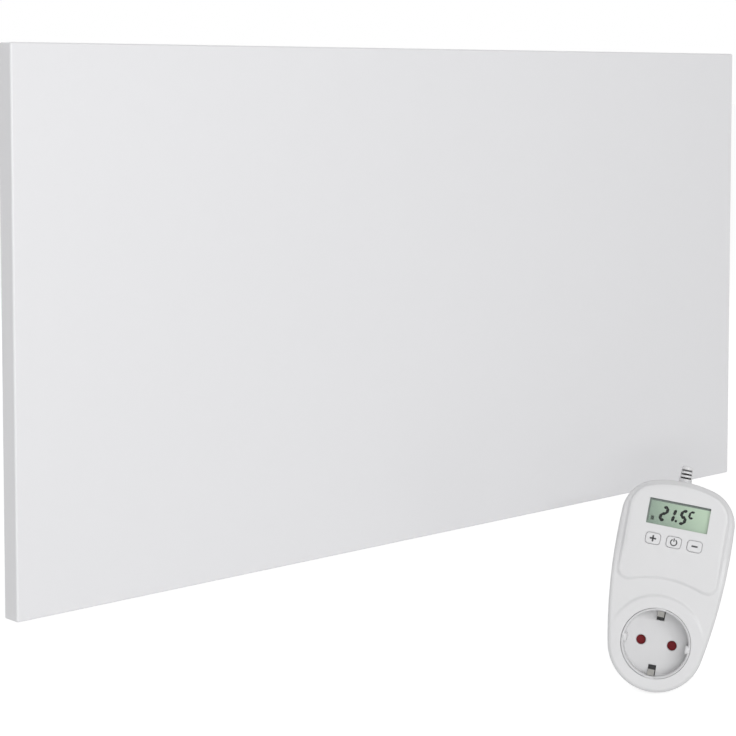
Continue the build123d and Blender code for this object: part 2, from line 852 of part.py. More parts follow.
# Earth stays in the box, from the terminal strip to a lug on the stud.
with BuildPart() as earth_lead:
    lug_y = lug_seat + tab_thickness / 2
    lead([
        (lead_end_x, terminal_wire_y, poles_z[0]),
        (earth_stud_at[0], terminal_wire_y, poles_z[0]),
        (earth_stud_at[0], lug_y + lead_radius, earth_stud_at[1] - 3 * earth_stud_pad_radius),
        (earth_stud_at[0], lug_y + lead_radius, earth_stud_at[1] - earth_nut_flats),
    ], bend=1.5 * lead_radius)
    with BuildSketch(facing(lug_seat)):
        with Locations(earth_stud_at):
            Circle(earth_stud_pad_radius)
        with Locations((earth_stud_at[0], earth_stud_at[1] - earth_nut_flats / 2 - lead_radius)):
            Rectangle(2 * lead_radius, earth_nut_flats)
        with Locations(earth_stud_at):
            Circle(earth_stud_radius + hole_clearance, mode=Mode.SUBTRACT)
    extrude(amount=-tab_thickness)
finish(earth_lead, "earth_lead")

# ---------------------------------------------------------------- thermostat: planes

out = Vector(
    -sin(radians(turn)) * cos(radians(lean)),
    -cos(radians(turn)) * cos(radians(lean)),
    sin(radians(lean)),
)
across = Vector(cos(radians(turn)), -sin(radians(turn)), 0)
rim_plane = Plane(
    origin=(stand_x, panel_front - stand_gap, -stand_drop),
    x_dir=across * cos(radians(roll)) - out.cross(across) * sin(radians(roll)),
    z_dir=out,
)
outwards = Axis(rim_plane.origin, rim_plane.z_dir)


def depth(z):
    """Plane across the thermostat, z in front of its rim plane."""
    return rim_plane.offset(z)


def side_plane(x=0.0):
    """Lengthwise plane of the thermostat at x: its x is up the face, its y is outwards."""
    return Plane(
        origin=rim_plane.from_local_coords((x, 0, 0)),
        x_dir=rim_plane.y_dir,
        z_dir=rim_plane.x_dir,
    )


def upright_plane(x, y, z):
    """Plane across the thermostat's length at height y, its z pointing up the face."""
    return Plane(
        origin=rim_plane.from_local_coords((x, y, z)),
        x_dir=rim_plane.x_dir,
        z_dir=rim_plane.y_dir,
    )


# The side arc touches the foot's circle and is widest at widest_height.
side_radius = (widest_height ** 2 + half_width ** 2 - foot_radius ** 2) / (
    2 * (half_width - foot_radius))
side_centre_x = half_width - side_radius
crown_centre_y = crown_height - crown_radius


def foot_point(inset):
    """Where the foot's arc runs into the side arc."""
    share = (foot_radius - inset) / (side_radius - foot_radius)
    return (-side_centre_x * share, -widest_height * share)


def shoulder_point(inset):
    """Where the side arc and the crown arc would cross."""
    dx, dy = side_centre_x, widest_height - crown_centre_y
    apart = hypot(dx, dy)
    crown, side = crown_radius - inset, side_radius - inset
    along = (apart ** 2 + crown ** 2 - side ** 2) / (2 * apart)
    across = sqrt(crown ** 2 - along ** 2)
    return (
        (along * dx + across * dy) / apart,
        crown_centre_y + (along * dy - across * dx) / apart,
    )


def outline(inset=0.0, mode=Mode.ADD):
    """Draw the thermostat's outline: round foot, bowed sides and a shallow crown."""
    foot_x, foot_y = foot_point(inset)
    shoulder_x, shoulder_y = shoulder_point(inset)
    side_x = half_width - inset
    with BuildSketch(mode=Mode.PRIVATE) as shape:
        with BuildLine():
            ThreePointArc((-foot_x, foot_y), (0, inset - foot_radius), (foot_x, foot_y))
            ThreePointArc((foot_x, foot_y), (side_x, widest_height), (shoulder_x, shoulder_y))
            ThreePointArc(
                (shoulder_x, shoulder_y), (0, crown_height - inset), (-shoulder_x, shoulder_y))
            ThreePointArc(
                (-shoulder_x, shoulder_y), (-side_x, widest_height), (-foot_x, foot_y))
        make_face()
        fillet(shape.vertices().group_by(Axis.Y)[-1], shoulder_radius - inset)
    add(shape.sketch, mode=mode)


def raised_face(spread_side=0.0, spread_top=0.0):
    """Draw the raised face, spread to its sides and upwards by the given amounts."""
    half = face_half_width + spread_side
    low = face_bottom - spread_side
    shoulder = face_shoulder + spread_top
    with BuildSketch(mode=Mode.PRIVATE) as shape:
        with BuildLine():
            Line((-half, low), (half, low))
            Line((half, low), (half, shoulder))
            ThreePointArc((half, shoulder), (0, face_crown + spread_top), (-half, shoulder))
            Line((-half, shoulder), (-half, low))
        make_face()
        fillet(shape.vertices().group_by(Axis.Y)[0], face_low_corner)
        fillet(shape.vertices().group_by(Axis.Y)[-1], face_corner)
    add(shape.sketch)


# ---------------------------------------------------------------- thermostat: front cover

roof = -(ledge_depth + shell_wall)
back_inside = -(body_depth - shell_wall)
board_front = -board_depth
window_front = -window_sink
window_back = window_front - window_thickness
button_x = {"plus": -button_pitch, "power": 0.0, "minus": button_pitch}


def both_sides(places):
    """Each place and its mirror image across the thermostat's middle."""
    return [(side * x, y) for x, y in places for side in (-1, 1)]


# What is cut away round the raised face and the socket collar: the surface dips
# between them, then steps down to a ledge at the sides and top.
with BuildPart() as dip:
    with BuildSketch(side_plane()):
        with BuildLine():
            Spline(
                (dip_start, 0),
                ((dip_start + dip_end) / 2, -dip_depth),
                (dip_end, -dip_depth),
                (ledge_start, -ledge_depth),
                (crown_height, -ledge_depth),
                tangents=((1, -0.1), (1, 0)),
            )
            Line((crown_height, -ledge_depth), (crown_height, nose_radius))
            Line((crown_height, nose_radius), (dip_start, nose_radius))
            Line((dip_start, nose_radius), (dip_start, 0))
        make_face()
    extrude(amount=half_width + nose_radius, both=True)
    with BuildSketch(depth(-ledge_depth)):
        Circle(collar_radius)
    extrude(amount=2 * ledge_depth, mode=Mode.SUBTRACT)
    with BuildSketch(depth(-ledge_depth)):
        raised_face(flank_side, flank_top)
    with BuildSketch(depth(0)):
        raised_face()
    loft(mode=Mode.SUBTRACT)
    with BuildSketch(depth(0)):
        raised_face()
    extrude(amount=2 * nose_radius, mode=Mode.SUBTRACT)

with BuildPart() as front_cover:
    with BuildSketch(depth(-cover_depth)):
        outline()
    extrude(amount=cover_depth)
    fillet(front_cover.faces().sort_by(outwards)[-1].edges(), nose_radius)
    add(dip.part, mode=Mode.SUBTRACT)
    # Inside: thin shell and a rebate for the tongue of the rear housing.
    with BuildSketch(depth(-cover_depth)):
        outline(shell_wall)
    extrude(amount=cover_depth + roof, mode=Mode.SUBTRACT)
    with BuildSketch(depth(-cover_depth)):
        outline(shell_wall / 2)
    extrude(amount=tongue_height + tongue_clearance, mode=Mode.SUBTRACT)
    # Screw bosses and board posts hang from the roof.
    with BuildSketch(depth(-cover_depth)):
        with Locations(*both_sides(column_places)):
            Circle(column_radius)
    extrude(amount=cover_depth + roof)
    with BuildSketch(depth(board_front)):
        with Locations(*both_sides(board_post_places)):
            Circle(board_post_radius)
    extrude(amount=roof - board_front)
    with BuildSketch(depth(-cover_depth)):
        with Locations(*both_sides(column_places)):
            Circle(case_screw_radius + hole_clearance)
    extrude(amount=cover_depth + roof - boss_roof_gap, mode=Mode.SUBTRACT)
    # Openings for the socket, the display and the buttons.
    with BuildSketch(depth(roof)):
        Circle(rim_radius + fit_gap)
        with Locations((0, display_height)):
            Rectangle(window_width, window_tall)
        with Locations(*[(x, button_height) for x in button_x.values()]):
            RectangleRounded(
                button_width + 2 * button_gap, button_tall + 2 * button_gap,
                button_corner + button_gap)
    extrude(amount=-roof + nose_radius, mode=Mode.SUBTRACT)
    with BuildSketch(depth(roof)):
        with Locations((0, display_height)):
            Rectangle(
                window_width + 2 * (window_flange + fit_gap),
                window_tall + 2 * (window_flange + fit_gap))
    extrude(amount=window_back - roof, mode=Mode.SUBTRACT)
finish(front_cover, "front_cover")

# ---------------------------------------------------------------- thermostat: rear housing


def inset_at(behind):
    """Inset of the tapering rear housing at a distance behind the rim plane."""
    return taper_inset * (behind - cover_depth) / (body_depth - cover_depth)


boss_end = -(body_depth + boss_length)
pin_places = [(-pin_pitch / 2, 0), (pin_pitch / 2, 0)]
blade_y = boss_radius - earth_groove_depth + earth_blade_sheet / 2

with BuildPart() as rear_housing:
    with BuildSketch(depth(-cover_depth)):
        outline()
    with BuildSketch(depth(-body_depth)):
        outline(taper_inset)
    loft()
    fillet(rear_housing.faces().sort_by(outwards)[0].edges(), back_radius)
    with BuildSketch(depth(-cover_depth)):
        outline(shell_wall)
    with BuildSketch(depth(back_inside)):
        outline(shell_wall + inset_at(-back_inside))
    loft(mode=Mode.SUBTRACT)
    # Tongue that locates the two shells.
    with BuildSketch(depth(-cover_depth)):
        outline(shell_wall / 2 + tongue_clearance)
        outline(shell_wall, mode=Mode.SUBTRACT)
    extrude(amount=tongue_height)
    # Plug boss with its earth grooves and keyways.
    with BuildSketch(depth(back_inside)):
        Circle(boss_radius)
        with Locations((0, boss_radius), (0, -boss_radius)):
            Rectangle(earth_groove_width, 2 * earth_groove_depth, mode=Mode.SUBTRACT)
        with Locations((boss_radius, 0), (-boss_radius, 0)):
            Rectangle(2 * key_groove_depth, key_groove_width, mode=Mode.SUBTRACT)
    extrude(amount=boss_end - back_inside)
    # Screw columns and board posts stand on the back wall.
    with BuildSketch(depth(back_inside)):
        with Locations(*both_sides(column_places)):
            Circle(column_radius)
    extrude(amount=-cover_depth - back_inside)
    with BuildSketch(depth(back_inside)):
        with Locations(*both_sides(power_post_places)):
            Circle(board_post_radius)
    extrude(amount=power_board_lift)
    with BuildSketch(depth(-cover_depth)):
        with Locations(*both_sides(column_places)):
            Circle(column_bore)
    extrude(amount=-body_depth, mode=Mode.SUBTRACT)
    with BuildSketch(depth(counterbore_depth - body_depth)):
        with Locations(*both_sides(column_places)):
            Circle(counterbore_radius)
    extrude(amount=-body_depth, mode=Mode.SUBTRACT)
    # Holes for the plug pins, the earth blades and the sensor hood.
    with BuildSketch(depth(back_inside)):
        with Locations(*pin_places):
            Circle(pin_shank_radius + hole_clearance)
        with Locations((0, blade_y), (0, -blade_y)):
            Rectangle(
                earth_blade_width + 2 * hole_clearance, earth_blade_sheet + 2 * hole_clearance)
    extrude(amount=boss_end - back_inside, mode=Mode.SUBTRACT)
    with BuildSketch(upright_plane(0, widest_height, -hood_depth)):
        Circle(hood_base_radius + fit_gap)
    extrude(amount=crown_height, mode=Mode.SUBTRACT)
finish(rear_housing, "rear_housing")

# Four screws from the back.
screw_seat = counterbore_depth - body_depth
with BuildPart() as housing_screws:
    with BuildSketch(depth(screw_seat)):
        with Locations(*both_sides(column_places)):
            Circle(case_screw_head_radius)
    extrude(amount=-case_screw_head_height)
    with BuildSketch(depth(screw_seat)):
        with Locations(*both_sides(column_places)):
            Circle(case_screw_radius)
    extrude(amount=case_screw_length)
finish(housing_screws, "housing_screws")

# ---------------------------------------------------------------- thermostat: display and buttons

glass_front = window_back - window_flange_thickness - seat_gap
glass_back = glass_front - glass_thickness

with BuildPart() as display_window:
    with BuildSketch(depth(window_back)):
        with Locations((0, display_height)):
            Rectangle(window_width - 2 * fit_gap, window_tall - 2 * fit_gap)
    extrude(amount=window_thickness)
    with BuildSketch(depth(window_back)):
        with Locations((0, display_height)):
            Rectangle(window_width + 2 * window_flange, window_tall + 2 * window_flange)
    extrude(amount=-window_flange_thickness)
finish(display_window, "display_window")

with BuildPart() as display_glass:
    with BuildSketch(depth(glass_back)):
        with Locations((0, display_height)):
            Rectangle(glass_width, glass_tall)
    extrude(amount=glass_thickness)
finish(display_glass, "display_glass")

# Frame that holds the display off the board.
with BuildPart() as display_holder:
    with BuildSketch(depth(board_front)):
        with Locations((0, display_height)):
            Rectangle(glass_width, glass_tall)
            Rectangle(
                glass_width - 2 * holder_wall, glass_tall - 2 * holder_wall,
                mode=Mode.SUBTRACT)
    extrude(amount=glass_back - board_front)
finish(display_holder, "display_holder")

# Rubber contact strip between the display and the board.
with BuildPart() as display_connector:
    with BuildSketch(depth(board_front)):
        with Locations((0, display_height - glass_tall / 2 + holder_wall + connector_width)):
            Rectangle(glass_width - 4 * holder_wall, connector_width)
    extrude(amount=glass_back - board_front)
finish(display_connector, "display_connector")

with BuildPart() as control_board:
    with BuildSketch(depth(board_front)):
        with Locations((0, (board_bottom + board_top) / 2)):
            Rectangle(2 * board_half_width, board_top - board_bottom)
    extrude(amount=-board_thickness)
finish(control_board, "control_board")

plunger_top = board_front + switch_height + plunger_height
with BuildPart() as tact_switches:
    with BuildSketch(depth(board_front)):
        with Locations(*[(x, button_height) for x in button_x.values()]):
            Rectangle(switch_size, switch_size)
    extrude(amount=switch_height)
    with BuildSketch(depth(board_front + switch_height)):
        with Locations(*[(x, button_height) for x in button_x.values()]):
            Circle(plunger_radius)
    extrude(amount=plunger_height)
finish(tact_switches, "tact_switches")


def button(x):
    """Button at x: rounded cap, flange behind the roof and a stem over its switch."""
    flange_front = roof - seat_gap
    with BuildPart() as cap:
        with BuildSketch(depth(flange_front)):
            with Locations((x, button_height)):
                RectangleRounded(button_width, button_tall, button_corner)
        extrude(amount=button_proud - flange_front)
        fillet(cap.faces().sort_by(outwards)[-1].edges(), button_proud * 0.8)
        with BuildSketch(depth(flange_front)):
            with Locations((x, button_height)):
                RectangleRounded(
                    button_width + 2 * button_flange, button_tall + 2 * button_flange,
                    button_corner)
        extrude(amount=-button_flange_thickness)
        with BuildSketch(depth(plunger_top + button_travel + seat_gap)):
            with Locations((x, button_height)):
                Circle(button_stem)
        extrude(amount=flange_front - plunger_top - button_travel - seat_gap)
    return cap


for button_name, x in button_x.items():
    finish(button(x), f"button_{button_name}")

# ---------------------------------------------------------------- thermostat: socket

well_radius = rim_radius - well_wall
floor_front = -well_depth
floor_back = floor_front - well_floor
shutter_front = floor_back - shutter_gap
shutter_back = shutter_front - shutter_thickness
retainer_front = shutter_back - shutter_gap
retainer_back = retainer_front - retainer_thickness
stop_spread = degrees(asin(stop_radius / stop_place)) + stop_gap
open_stop = shutter_half_angle + shutter_open + stop_spread
closed_stop = -(shutter_half_angle + stop_spread)
flange_back = roof - seat_gap - shell_wall / 2


def around(radius, *angles):
    """Places at a radius round the socket axis, each with its opposite."""
    return [
        (radius * cos(radians(angle + half)), radius * sin(radians(angle + half)))
        for angle in angles
        for half in (0, 180)
    ]


with BuildPart() as socket_well:
    with BuildSketch(depth(floor_front)):
        Circle(rim_radius)
    extrude(amount=well_depth)
    with BuildSketch(depth(flange_back)):
        Circle(rim_radius + window_flange)
    extrude(amount=roof - seat_gap - flange_back)
    with BuildSketch(depth(floor_front)):
        Circle(well_radius)
        for side in (-1, 1):
            with Locations((side * well_radius, 0)):
                Rectangle(2 * key_rise, key_width, mode=Mode.SUBTRACT)
    extrude(amount=well_depth, mode=Mode.SUBTRACT)
    rim_edges = socket_well.faces().sort_by(outwards)[-1].inner_wires()[0].edges()
    chamfer(rim_edges, rim_chamfer)
    # Slots for the earth clips, through the wall and the flange.
    with BuildSketch(depth(floor_front)):
        for side in (-1, 1):
            with Locations((0, side * rim_radius)):
                Rectangle(clip_slot_width, 4 * well_wall)
    extrude(amount=well_depth - clip_slot_start, mode=Mode.SUBTRACT)
finish(socket_well, "socket_well")

# Floor of the well, welded to the end of its wall, with what the shutter needs behind it.
with BuildPart() as socket_floor:
    with BuildSketch(depth(floor_back)):
        Circle(rim_radius)
        with Locations(*pin_places):
            Circle(pin_hole_radius, mode=Mode.SUBTRACT)
        for side in (-1, 1):
            with Locations((0, side * (clip_floor_reach + rim_radius) / 2)):
                Rectangle(clip_slot_width, rim_radius - clip_floor_reach + well_wall,
                          mode=Mode.SUBTRACT)
    extrude(amount=well_floor)
    # A lead-in at the mouth of each pin hole.
    hole_edges = socket_floor.edges().filter_by(GeomType.CIRCLE).filter_by(
        lambda edge: abs(edge.radius - pin_hole_radius) < hole_clearance)
    chamfer(hole_edges.sort_by(outwards)[-2:], pin_hole_lead_in)
    # Pivot, retainer posts and shutter stops.
    with BuildSketch(depth(floor_back)):
        Circle(pivot_radius)
    extrude(amount=retainer_back - floor_back)
    with BuildSketch(depth(floor_back)):
        with Locations(*around(post_place, post_angle, -post_angle)):
            Circle(post_radius)
        with Locations(*around(stop_place, open_stop, closed_stop)):
            Circle(stop_radius)
    extrude(amount=retainer_front - floor_back)
finish(socket_floor, "socket_floor")

# Sprung earth strap: a tongue at the top and bottom of the well, joined behind it.
strap_back = retainer_back - clip_sheet
with BuildPart() as socket_earth_strap:
    with BuildSketch(side_plane(-clip_width / 2)):
        with BuildLine():
            Polyline(
                (well_radius, -clip_entry),
                (clip_reach, -clip_tip),
                (well_radius, -clip_exit),
                (strap_radius, -clip_exit - well_wall),
                (strap_radius, strap_back),
                (-strap_radius, strap_back),
                (-strap_radius, -clip_exit - well_wall),
                (-well_radius, -clip_exit),
                (-clip_reach, -clip_tip),
                (-well_radius, -clip_entry),
            )
        trace(line_width=clip_sheet)
    extrude(amount=clip_width)
finish(socket_earth_strap, "socket_earth_strap")

# Shutter: two lobes that cover the pin holes and swing clear together.
lobe_angles = [shutter_half_angle * share for share in (-1, 0, 1)]
with BuildPart() as shutter:
    with BuildSketch(depth(shutter_back)):
        for half in (0, 180):
            with BuildLine():
                start, middle, end = [
                    (shutter_outer * cos(radians(angle + half)),
                     shutter_outer * sin(radians(angle + half)))
                    for angle in lobe_angles
                ]
                Line((0, 0), start)
                ThreePointArc(start, middle, end)
                Line(end, (0, 0))
            make_face()
        Circle(shutter_hub_radius)
        Circle(pivot_radius + pivot_clearance, mode=Mode.SUBTRACT)
    extrude(amount=shutter_thickness)
    with BuildSketch(depth(shutter_back)):
        Circle(spring_radius + spring_wire + spring_clearance)
    extrude(amount=spring_turns * spring_pitch + 2 * spring_wire, mode=Mode.SUBTRACT)
finish(shutter, "shutter")

with BuildPart() as shutter_retainer:
    with BuildSketch(depth(retainer_front)):
        Circle(retainer_radius)
        Circle(pivot_radius + hole_clearance, mode=Mode.SUBTRACT)
        with Locations(*pin_places):
            Circle(pin_hole_radius, mode=Mode.SUBTRACT)
    extrude(amount=-retainer_thickness)
finish(shutter_retainer, "shutter_retainer")

# Contact sleeves on the roots of the plug pins.
root_front = back_inside + pin_root_length
sleeve_front = retainer_back - sleeve_gap
with BuildPart() as contact_sleeves:
    with BuildSketch(depth(root_front)):
        with Locations(*pin_places):
            Circle(sleeve_bore + sleeve_wall)
    extrude(amount=sleeve_front - root_front)
    with BuildSketch(depth(root_front + pin_root_length)):
        with Locations(*pin_places):
            Circle(sleeve_bore)
            Rectangle(sleeve_slit, 2 * (sleeve_bore + sleeve_wall))
    extrude(amount=sleeve_front - root_front, mode=Mode.SUBTRACT)
finish(contact_sleeves, "contact_sleeves")

with BuildPart() as plug_pins:
    with BuildSketch(depth(root_front)):
        with Locations(*pin_places):
            Circle(pin_radius)
    extrude(amount=boss_end - pin_length - root_front)
    fillet(plug_pins.faces().sort_by(outwards)[:2].edges(), pin_tip_radius)
    with BuildSketch(depth(root_front)):
        with Locations(*pin_places):
            Circle(pin_shank_radius)
    extrude(amount=boss_end - root_front)
    for place in pin_places:
        with BuildSketch(depth(boss_end)):
            with Locations(place):
                Circle(pin_shank_radius)
        with BuildSketch(depth(boss_end - pin_collar)):
            with Locations(place):
                Circle(pin_radius)
        loft()
    with BuildSketch(depth(root_front)):
        with Locations(*pin_places):
            Circle(pin_root_radius)
    extrude(amount=-pin_root_length)
finish(plug_pins, "plug_pins")

with BuildPart() as plug_earth_contacts:
    with BuildSketch(depth(root_front)):
        with Locations((0, blade_y), (0, -blade_y)):
            Rectangle(earth_blade_width, earth_blade_sheet)
    extrude(amount=-body_depth - earth_blade_length - root_front)
finish(plug_earth_contacts, "plug_earth_contacts")

# ---------------------------------------------------------------- thermostat: electronics

board_seat = back_inside + power_board_lift
board_face = board_seat + board_thickness


def on_power_board(size, place):
    """Box-shaped component of the given size standing on the power board at place."""
    with BuildPart() as component:
        with BuildSketch(depth(board_face)):
            with Locations(place):
                Rectangle(size[0], size[1])
        extrude(amount=size[2])
    return component


with BuildPart() as power_board:
    with BuildSketch(depth(board_seat)):
        with Locations((0, (power_board_bottom + power_board_top) / 2)):
            Rectangle(2 * power_board_half_width, power_board_top - power_board_bottom)
    extrude(amount=board_thickness)
finish(power_board, "power_board")

finish(on_power_board(relay_size, relay_place), "relay")
finish(on_power_board(capacitor_size, capacitor_place), "filter_capacitor")
link_height = board_front - board_thickness - board_face
finish(on_power_board((*link_size, link_height), link_place), "board_link")

with BuildPart() as smoothing_capacitor:
    with BuildSketch(depth(board_face)):
        with Locations(can_place):
            Circle(can_radius)
    extrude(amount=can_height)
finish(smoothing_capacitor, "smoothing_capacitor")

# ---------------------------------------------------------------- thermostat: sensor hood

taper_slope = taper_inset / (body_depth - cover_depth)
hood_seat = (crown_height - inset_at(hood_depth) - shell_wall
             - hood_flange_radius * taper_slope - 2 * seat_gap - hood_flange_height)
hood_shoulder = crown_height - inset_at(hood_depth)
slot_middle = (hood_shoulder + hood_tip) / 2 + hood_wall

with BuildPart() as sensor_hood:
    with BuildSketch(upright_plane(0, hood_seat, -hood_depth)):
        Circle(hood_base_radius)
    with BuildSketch(upright_plane(0, hood_tip, -hood_depth)):
        Circle(hood_tip_radius)
    loft()
    upwards = Axis(rim_plane.origin, rim_plane.y_dir)
    fillet(sensor_hood.faces().sort_by(upwards)[-1].edges(), hood_wall)
    with BuildSketch(upright_plane(0, hood_seat, -hood_depth)):
        Circle(hood_flange_radius)
    extrude(amount=hood_flange_height)
    with BuildSketch(upright_plane(0, hood_seat, -hood_depth)):
        Circle(hood_base_radius - hood_wall)
    with BuildSketch(upright_plane(0, hood_tip - hood_wall, -hood_depth)):
        Circle(hood_tip_radius - hood_wall)
    loft(mode=Mode.SUBTRACT)
    with BuildSketch(depth(-hood_depth)):
        with Locations(*[(0, slot_middle + (i - (hood_slot_count - 1) / 2) * hood_slot_pitch)
                         for i in range(hood_slot_count)]):
            Rectangle(2 * hood_tip_radius, hood_slot_height)
    extrude(amount=hood_base_radius, mode=Mode.SUBTRACT)
finish(sensor_hood, "sensor_hood")

with BuildPart() as room_sensor:
    with BuildSketch(side_plane()):
        with Locations((slot_middle, -hood_depth)):
            Circle(sensor_radius)
            Rectangle(2 * sensor_radius, sensor_radius, align=(Align.CENTER, Align.MAX),
                      mode=Mode.SUBTRACT)
    revolve(axis=Axis(rim_plane.from_local_coords((0, 0, -hood_depth)), rim_plane.y_dir))
    for x in (-sensor_wire_pitch / 2, sensor_wire_pitch / 2):
        with BuildLine() as wire:
            FilletPolyline(
                rim_plane.from_local_coords((x, slot_middle, -hood_depth)),
                rim_plane.from_local_coords((x, board_top - sensor_wire_pitch, -hood_depth)),
                rim_plane.from_local_coords(
                    (x, board_top - sensor_wire_pitch, board_front - board_thickness)),
                radius=sensor_wire_pitch,
            )
        with BuildSketch(Plane(wire.line @ 0, z_dir=wire.line % 0)):
            Circle(sensor_wire_radius)
        sweep(path=wire.line)
finish(room_sensor, "room_sensor")

with BuildPart() as shutter_spring:
    with BuildLine() as coil:
        Helix(
            pitch=spring_pitch, height=spring_turns * spring_pitch, radius=spring_radius,
            center=rim_plane.from_local_coords((0, 0, shutter_back)),
            direction=rim_plane.z_dir,
        )
    with BuildSketch(Plane(coil.line @ 0, z_dir=coil.line % 0)):
        Circle(spring_wire)
    sweep(path=coil.line, is_frenet=True)
finish(shutter_spring, "shutter_spring")
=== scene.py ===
# %% [markdown]
# # A flat infrared panel heater and its plug-in thermostat
# This lesson dresses it. A piece whose solid is right keeps it and gets a finish; a piece
# whose moulded form matters more, such as the thermostat's front cover, is made again as
# a surface worked out with numpy.

import json
import math

import bmesh
import bpy
import numpy as np
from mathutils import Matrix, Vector


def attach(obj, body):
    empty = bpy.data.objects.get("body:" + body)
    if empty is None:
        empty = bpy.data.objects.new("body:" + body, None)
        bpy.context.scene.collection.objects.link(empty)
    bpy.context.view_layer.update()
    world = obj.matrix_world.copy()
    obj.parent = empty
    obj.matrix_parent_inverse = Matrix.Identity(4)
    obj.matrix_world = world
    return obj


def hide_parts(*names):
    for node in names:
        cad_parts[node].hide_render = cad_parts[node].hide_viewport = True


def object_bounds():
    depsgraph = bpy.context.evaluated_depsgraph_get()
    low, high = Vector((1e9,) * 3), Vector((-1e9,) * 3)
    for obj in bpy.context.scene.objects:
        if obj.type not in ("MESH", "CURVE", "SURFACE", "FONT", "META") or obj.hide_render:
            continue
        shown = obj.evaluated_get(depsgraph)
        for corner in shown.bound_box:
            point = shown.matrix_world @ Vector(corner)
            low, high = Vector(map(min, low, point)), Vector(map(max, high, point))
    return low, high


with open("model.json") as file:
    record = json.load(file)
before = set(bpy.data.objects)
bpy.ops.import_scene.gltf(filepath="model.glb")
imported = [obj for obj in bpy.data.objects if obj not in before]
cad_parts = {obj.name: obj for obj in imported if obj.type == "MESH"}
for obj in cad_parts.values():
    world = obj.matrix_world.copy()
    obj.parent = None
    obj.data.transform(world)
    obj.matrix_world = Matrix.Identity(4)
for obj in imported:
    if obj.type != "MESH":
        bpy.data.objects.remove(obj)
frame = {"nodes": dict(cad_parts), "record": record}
cad_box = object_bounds()
nodes = frame["nodes"]

# %% [markdown]
# ## Node groups: one recipe, many finishes
# Moulded plastic, powder coat and rolled sheet share the same kinds of unevenness, so each
# kind is a node group with named inputs and outputs. A material places the group and turns
# its knobs. The groups only put out heights, roughness and tones that vary over the surface;
# the shader stays in the material, where an exporter can read it. Each group starts from the
# Object coordinates, which are metres on the piece, so a grain size is a real size.

# %% Helpers that add one node
def feed(tree, socket, value):
    """Link another node's output to the socket, or type a plain value into it."""
    if isinstance(value, bpy.types.NodeSocket):
        tree.links.new(value, socket)
    else:
        socket.default_value = value


def add_node(tree, kind, inputs=(), **settings):
    """Add a shader node; settings are its own choices, inputs maps sockets to what feeds them."""
    node = tree.nodes.new("ShaderNode" + kind)
    for name, value in settings.items():
        setattr(node, name, value)
    for label, value in dict(inputs).items():
        feed(tree, node.inputs[label], value)
    return node


print("node helpers", [helper.__name__ for helper in (feed, add_node)])

# %% Helpers for maths, noise and coordinates
def add_math(tree, operation, first, second, clamp=False):
    """Math node on two sockets or plain numbers."""
    inputs = {0: first, 1: second}
    return add_node(tree, "Math", inputs, operation=operation, use_clamp=clamp).outputs[0]


def varied(tree, base, spread, value, clamp=False):
    """base + spread x value, held between 0 and 1 where clamp says so."""
    return add_math(tree, "ADD", add_math(tree, "MULTIPLY", value, spread), base, clamp)


def add_noise(tree, vector, scale, detail):
    """Noise Texture read at vector; scale is its cells per metre, detail its finer octaves."""
    inputs = {"Vector": vector, "Scale": scale, "Detail": detail}
    return add_node(tree, "TexNoise", inputs).outputs["Fac"]


def stretched(tree, vector, factors):
    """Coordinates times factors; a factor below 1 draws the pattern out along that axis."""
    return add_node(tree, "Mapping", {"Vector": vector, "Scale": factors}).outputs["Vector"]


def object_places(tree):
    """The Object coordinates of each point of the surface, in metres."""
    return add_node(tree, "TexCoord").outputs["Object"]


print("pattern helpers", [
    helper.__name__ for helper in (add_math, varied, add_noise, stretched, object_places)])

# %% Helpers that make a group with named sockets
group_outputs = ("Height", "Roughness", "Tone")


def new_group(name, knobs):
    """Empty group, its input sockets and the places; knobs maps each input to its default."""
    group = bpy.data.node_groups.new(name, "ShaderNodeTree")
    for label, default in knobs.items():
        socket = group.interface.new_socket(label, in_out="INPUT", socket_type="NodeSocketFloat")
        socket.default_value = default
    for label in group_outputs:
        group.interface.new_socket(label, in_out="OUTPUT", socket_type="NodeSocketFloat")
    return group, group.nodes.new("NodeGroupInput").outputs, object_places(group)


def finished_group(group, *results):
    """Wire height, roughness and tone, in that order, to the group's outputs."""
    end = group.nodes.new("NodeGroupOutput")
    for label, socket in zip(group_outputs, results):
        group.links.new(socket, end.inputs[label])
    print("group", group.name, "nodes", len(group.nodes))
    return group


print("each group puts out", group_outputs)

# %% [markdown]
# **Moulded grain.** A mould for a plug-in housing is spark-eroded, which leaves a fine, even
# sand on the plastic. An image of real grain would need a flat layout of every piece, so two
# noises stand for it: a fine one for the grain and a slow one for the way a large wall cools
# unevenly and handles pick up a little shine.

# %% Group: moulded grain
def make_moulded_grain(slow_scale=45.0):
    """Height = fine noise; roughness = base + slow noise; tone = 1 + slow noise."""
    group, given, place = new_group("moulded_grain", {
        "Grain Size": 0.0004, "Base Roughness": 0.4, "Roughness Spread": 0.08,
        "Tone Spread": 0.03})
    scale = add_math(group, "DIVIDE", 1.0, given["Grain Size"])
    fine = add_noise(group, place, scale, 3.0)
    slow = add_math(group, "SUBTRACT", add_noise(group, place, slow_scale, 2.0), 0.5)
    rough = varied(group, given["Base Roughness"], given["Roughness Spread"], slow, clamp=True)
    tone = varied(group, 1.0, given["Tone Spread"], slow)
    return finished_group(group, fine, rough, tone)


moulded_grain = make_moulded_grain()

# %% [markdown]
# **Orange peel.** Baked powder flows out into a skin with shallow ripples a millimetre or two
# across. On a flat white panel this is all that tells enamel from paper, so it has to be
# there and has to be faint. A broad noise and a fine one are added, because one alone looks
# like evenly spaced bumps.

